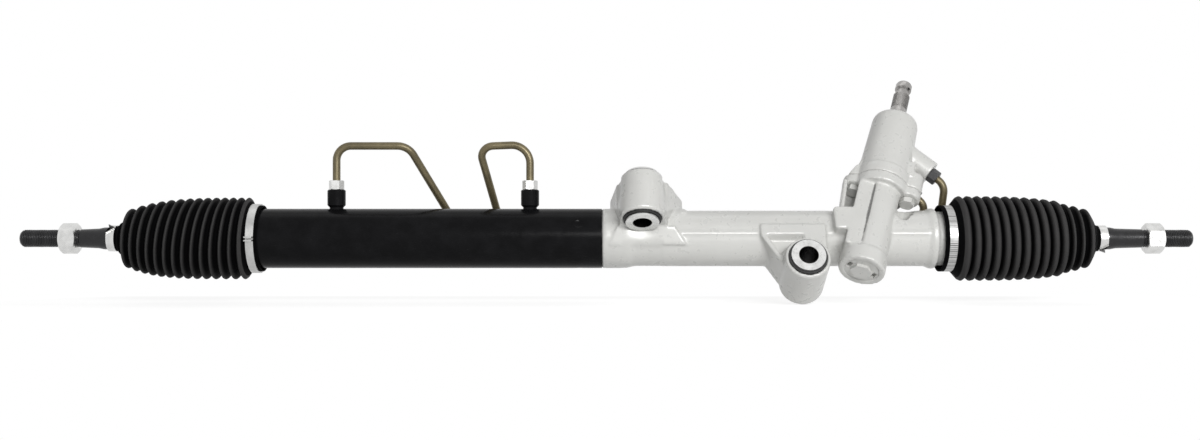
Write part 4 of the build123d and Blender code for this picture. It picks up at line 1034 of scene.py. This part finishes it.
class RACK_OT_bellows(Operator):
    """Rubber bellows whose folds open and close with the rack"""

    bl_idname = "rack.bellows"
    bl_label = "Bellows"

    def execute(self, context):
        shapes = context.scene.rack_shapes
        for side in ("left", "right"):
            low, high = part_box(f"bellows_{side}")
            reach = [(edge.x - BALLS[side].x) * OUTWARD[side] for edge in (low, high)]
            inner_end, outer_end = min(reach) + 3 * MM, max(reach) - CLAMP_SHIFT
            length = outer_end - inner_end
            first = -getattr(shapes, f"{side}_first_crest")
            folds, lean = getattr(shapes, f"{side}_folds"), getattr(shapes, f"{side}_lean")
            largest = (high.z - low.z) / 2 - 0.2 * MM
            line = self.envelope(side, first, shapes.last_crest, folds, largest, outer_end)
            profile = [((place - inner_end) / length, radius / largest) for place, radius in line]
            profile[0] = (0.0, profile[1][1])
            whole = grown(f"bellows_{side}_rubber", bellows_tree(profile), {
                "Length": length, "Folds": float(folds), "First Crest": (first - inner_end) / length,
                "Last Crest": (shapes.last_crest - inner_end) / length, "Fold Depth": shapes.fold_depth,
                "Lean": lean, "Largest Radius": largest, "Rings": folds * 12 + 35, "Segments": 97,
                "Material": material_for("boot"),
            }, along_rack(side, inner_end))
            self.hang(side, whole, inner_end, line[1][0] - inner_end)
        return {"FINISHED"}

    def envelope(self, side, first, last, folds, largest, outer_end):
        """Places past the ball and radii of a bellows' cuff, crests and neck."""
        low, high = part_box(f"large_clamp_{side}")
        cuff = (high.z - low.z) / 2 - 1.4 * MM
        cuff_end = max((edge.x - BALLS[side].x) * OUTWARD[side] for edge in (low, high)) + 0.6 * MM
        small, neck = 27 * MM, 10.2 * MM
        power = {"left": 4.2, "right": 3.5}[side]
        line = [(cuff_end - 1 * MM, cuff), (cuff_end, cuff)]
        for index in range(folds):
            share = index / (folds - 1)
            line.append((first + (last - first) * share, small + (largest - small) * (1 - share ** power)))
        line += {
            "left": [
                (last + 0.8 * MM, small), (last + 4.4 * MM, 15.8 * MM), (last + 5.8 * MM, 14 * MM),
                (last + 7.2 * MM, 14.8 * MM), (last + 8.4 * MM, 14.4 * MM), (last + 9.6 * MM, 11.8 * MM),
            ],
            "right": [(last + 0.8 * MM, small), (last + 4.5 * MM, 21 * MM), (last + 8.8 * MM, 13 * MM)],
        }[side]
        return line + [(last + 11.4 * MM, 11.7 * MM), (last + 12.2 * MM, neck), (outer_end, neck)]

    def hang(self, side, whole, inner_end, cuff_length):
        """Cuts the bellows at the ball's centre and hangs each half across its joint."""
        out = OUTWARD[side]
        ball = BALLS[side]
        for label, keep_inner in (("inner", True), ("outer", False)):
            mesh = whole.data.copy()
            builder = bmesh.new()
            builder.from_mesh(mesh)
            bmesh.ops.bisect_plane(
                builder, geom=builder.verts[:] + builder.edges[:] + builder.faces[:],
                plane_co=ball, plane_no=(out, 0, 0), clear_outer=keep_inner, clear_inner=not keep_inner,
            )
            bmesh.ops.recalc_face_normals(builder, faces=builder.faces)
            builder.to_mesh(mesh)
            builder.free()
            half = add_object(f"bellows_{side}_{label}", mesh)
            wall = half.modifiers.new("Wall", "SOLIDIFY")
            wall.thickness = 1.4 * MM
            wall.offset = -1
            half = baked(half, f"bellows_{side}_{label}")
            half.data.shade_smooth()
            if keep_inner:
                start = ball + Vector((out * (inner_end + cuff_length), 0, 0))
                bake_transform(half, "housing", "rack", start=start, end=ball)
                self.even_folds(half, start, ball)
                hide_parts(f"bellows_{side}")
            else:
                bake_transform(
                    half, f"{side}_seat", f"{side}_tie_rod",
                    start=ball, end=ball + Vector((out * 33 * MM, 0, 0)),
                )
        bpy.data.objects.remove(whole)

    def even_folds(self, half, start, end):
        """Opens all folds alike: the shares rise evenly, where blend's rise fastest midway."""
        span = end - start
        shares = half.data.attributes["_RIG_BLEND"]
        for vertex, item in zip(half.data.vertices, shares.data):
            share = (vertex.co - start).dot(span) / span.length_squared
            item.value = min(max(share, 0.0), 1.0)


class RACK_OT_input_shaft(Operator):
    """Input shaft with its splines and pinch groove"""

    bl_idname = "rack.input_shaft"
    bl_label = "Input shaft"

    def execute(self, context):
        shapes = context.scene.rack_shapes
        bore, rotor, journal, tip, root, waist = 4.3 * MM, 11 * MM, 8.9 * MM, 7.75 * MM, 7.1 * MM, 5.75 * MM
        outline = [
            (48, bore), (48, rotor), (108, rotor), (108, journal), (138.5, journal), (141, tip), (144, tip),
            (145, root), (162.2, root), (163.2, waist), (169, waist), (170.2, tip), (175.6, tip),
            (177.2, 7 * MM), (178, 6 * MM), (178, 1 * MM), (177, bore), (176.6, bore),
        ]
        shaft = turned(
            "input_shaft_journal", [(height * MM, radius) for height, radius in outline], on_tower(0)
        )
        splines = grown("input_shaft_splines", spline_tree(), {
            "Teeth": shapes.spline_teeth, "Root Radius": root - 0.05 * MM, "Tip Radius": tip,
            "Length": 18 * MM, "Material": material_for("ground"),
        }, on_tower(144.4 * MM))
        paint(shaft, "ground")
        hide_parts("input_shaft")
        for piece in (shaft, splines):
            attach(piece, "input_shaft")
        return {"FINISHED"}


class RACK_OT_clamps(Operator):
    """Spring clamps on the bellows' necks, each with a gap and two tabs"""

    bl_idname = "rack.clamps"
    bl_label = "Clamps"

    def execute(self, context):
        for side, gap in (("left", 140), ("right", 325)):
            low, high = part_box(f"small_clamp_{side}")
            centre = abs((low.x + high.x) / 2 - BALLS[side].x) - CLAMP_SHIFT
            clamp = self.spring_band(f"small_clamp_{side}_band", high.x - low.x, (high.z - low.z) / 2, gap)
            clamp.data.transform(along_rack(side, centre))
            paint(clamp, "zinc")
            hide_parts(f"small_clamp_{side}")
            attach(clamp, f"{side}_tie_rod")
        return {"FINISHED"}

    def spring_band(self, name, width, outer, gap):
        """Band that leaves a slanted gap, its two ends turned up as tabs."""
        inner = outer - 1.1 * MM
        tab_rise, half_gap, tilt = 0.8 * MM, 14, 12
        steps = 60
        half = width / 2
        builder = bmesh.new()
        rings = []
        for step in range(-2, steps + 3):
            share = min(max(step / steps, 0.0), 1.0)
            lift = tab_rise * (max(-step, 0) + max(step - steps, 0))
            corners = []
            for edge in (-half, half):
                slant = tilt * edge / half * (1 - 2 * share) * (abs(share - 0.5) > 0.4)
                turn = math.radians(gap + half_gap + (360 - 2 * half_gap) * share + slant)
                for radius in ((inner, outer) if edge < 0 else (outer, inner)):
                    reach = radius + lift
                    corners.append(builder.verts.new((reach * math.cos(turn), reach * math.sin(turn), edge)))
            rings.append(corners)
        for low, high in zip(rings, rings[1:]):
            for index in range(4):
                after = (index + 1) % 4
                builder.faces.new((low[index], low[after], high[after], high[index]))
        builder.faces.new(rings[0])
        builder.faces.new(rings[-1])
        return smooth(add_object(name, closed_mesh(name, builder)))


class RACK_OT_studio(Operator):
    """Pale floor, soft lamps and the camera"""

    bl_idname = "rack.studio"
    bl_label = "Studio"

    def execute(self, context):
        studio = context.scene.rack_studio
        self.ground(studio)
        self.lamp("key_lamp", (0.6, -1.85, 0.6), (1.3, 0.45), studio.key)
        self.lamp("top_lamp", (0.0, 0.3, 1.4), (1.8, 0.5), studio.top)
        world = bpy.data.worlds.new("room")
        context.scene.world = world
        world.use_nodes = True
        tree = world.node_tree
        room = tree.nodes["Background"]
        room.inputs["Color"].default_value = (1, 1, 1, 1)
        seen = seen_rays(tree)
        tree.links.new((seen * (1.0 - studio.world) + studio.world).value, room.inputs["Strength"])
        data = bpy.data.cameras.new("camera")
        data.lens = studio.lens
        data.sensor_width = 36
        data.clip_start = 0.01
        camera = bpy.data.objects.new("camera", data)
        camera.location = CAMERA_PLACE
        camera.rotation_euler = (math.pi / 2, 0, 0)
        context.scene.collection.objects.link(camera)
        context.scene.camera = camera
        context.scene.view_settings.view_transform = "Standard"
        return {"FINISHED"}

    def ground(self, studio):
        """Level floor just below the part, white but for the soft shadow around the part."""
        floor = CAD_BOUNDS[0][2] - 0.5 * MM
        half, least_white, glow = 8, 0.6, 0.9
        corners = [(x * half, y * half, floor) for x, y in ((-1, -1), (1, -1), (1, 1), (-1, 1))]
        mesh = bpy.data.meshes.new("floor")
        mesh.from_pydata(corners, [], [(0, 1, 2, 3)])
        sheet = add_object("floor", mesh)
        material, tree, shader = start_material("studio_paper")
        shader.inputs["Base Color"].default_value = (*studio.floor, 1)
        shader.inputs["Roughness"].default_value = 0.9
        shader.inputs["Specular IOR Level"].default_value = 0.1
        spot = tree.nodes.new("ShaderNodeSeparateXYZ")
        tree.links.new(object_place(tree), spot.inputs[0])
        low, high = CAD_BOUNDS[0][0], CAD_BOUNDS[1][0]
        beside = (Term(tree, spot.outputs["X"]) - (low + high) / 2).math("ABSOLUTE") - (high - low) / 2
        beside = (beside + studio.shadow_reach).math("MAXIMUM", 0.0)
        before = Term(tree, spot.outputs["Y"])
        away = (beside * beside + before * before) ** 0.5
        far = (away - studio.shadow_reach) / studio.shadow_reach
        far = far.math("MAXIMUM", least_white).math("MINIMUM", 1.0)
        white = tree.nodes.new("ShaderNodeEmission")
        tree.links.new((far * -glow + (1 + glow)).value, white.inputs["Strength"])
        mix = tree.nodes.new("ShaderNodeMixShader")
        tree.links.new((seen_rays(tree) * far).value, mix.inputs[0])
        tree.links.new(shader.outputs[0], mix.inputs[1])
        tree.links.new(white.outputs[0], mix.inputs[2])
        tree.links.new(mix.outputs[0], tree.nodes["Material Output"].inputs["Surface"])
        mesh.materials.append(material)

    def lamp(self, name, place, size, power):
        """Soft rectangular lamp aimed at the world's origin."""
        data = bpy.data.lights.new(name, "AREA")
        data.shape = "RECTANGLE"
        data.size, data.size_y = size
        data.energy = power
        lamp = bpy.data.objects.new(name, data)
        lamp.location = place
        lamp.rotation_euler = (Vector() - Vector(place)).to_track_quat("-Z", "Y").to_euler()
        bpy.context.scene.collection.objects.link(lamp)


class RACK_PT_sidebar(Panel):
    """Lists the pieces of the steering rack"""

    bl_idname = "RACK_PT_sidebar"
    bl_label = "Steering rack"
    bl_space_type = "VIEW_3D"
    bl_region_type = "UI"
    bl_category = "Steering rack"

    def draw(self, context):
        for group in ("rack_finish", "rack_shapes", "rack_studio"):
            settings = getattr(context.scene, group)
            box = self.layout.box()
            for name in type(settings).__annotations__:
                box.prop(settings, name)
        for operator in OPERATORS:
            self.layout.operator(operator.bl_idname)


GROUPS = (RackFinish, RackShapes, RackStudio)
OPERATORS = (
    RACK_OT_castings, RACK_OT_cylinder, RACK_OT_inner_parts, RACK_OT_tie_rods, RACK_OT_bellows,
    RACK_OT_clamps, RACK_OT_input_shaft, RACK_OT_studio,
)


def register():
    """Registers the classes and their settings."""
    for item in (*GROUPS, *OPERATORS, RACK_PT_sidebar):
        bpy.utils.register_class(item)
    bpy.types.Scene.rack_finish = PointerProperty(type=RackFinish)
    bpy.types.Scene.rack_shapes = PointerProperty(type=RackShapes)
    bpy.types.Scene.rack_studio = PointerProperty(type=RackStudio)


def unregister():
    """Takes the classes and their settings out again."""
    del bpy.types.Scene.rack_studio
    del bpy.types.Scene.rack_shapes
    del bpy.types.Scene.rack_finish
    for item in (RACK_PT_sidebar, *reversed(OPERATORS), *reversed(GROUPS)):
        bpy.utils.unregister_class(item)


def main():
    """Dresses the part."""
    register()
    bpy.ops.rack.castings()
    bpy.ops.rack.cylinder()
    bpy.ops.rack.inner_parts()
    bpy.ops.rack.tie_rods()
    bpy.ops.rack.bellows()
    bpy.ops.rack.clamps()
    bpy.ops.rack.input_shaft()
    bpy.ops.rack.studio()
    bpy.context.view_layer.update()


if __name__ == "__main__":
    main()
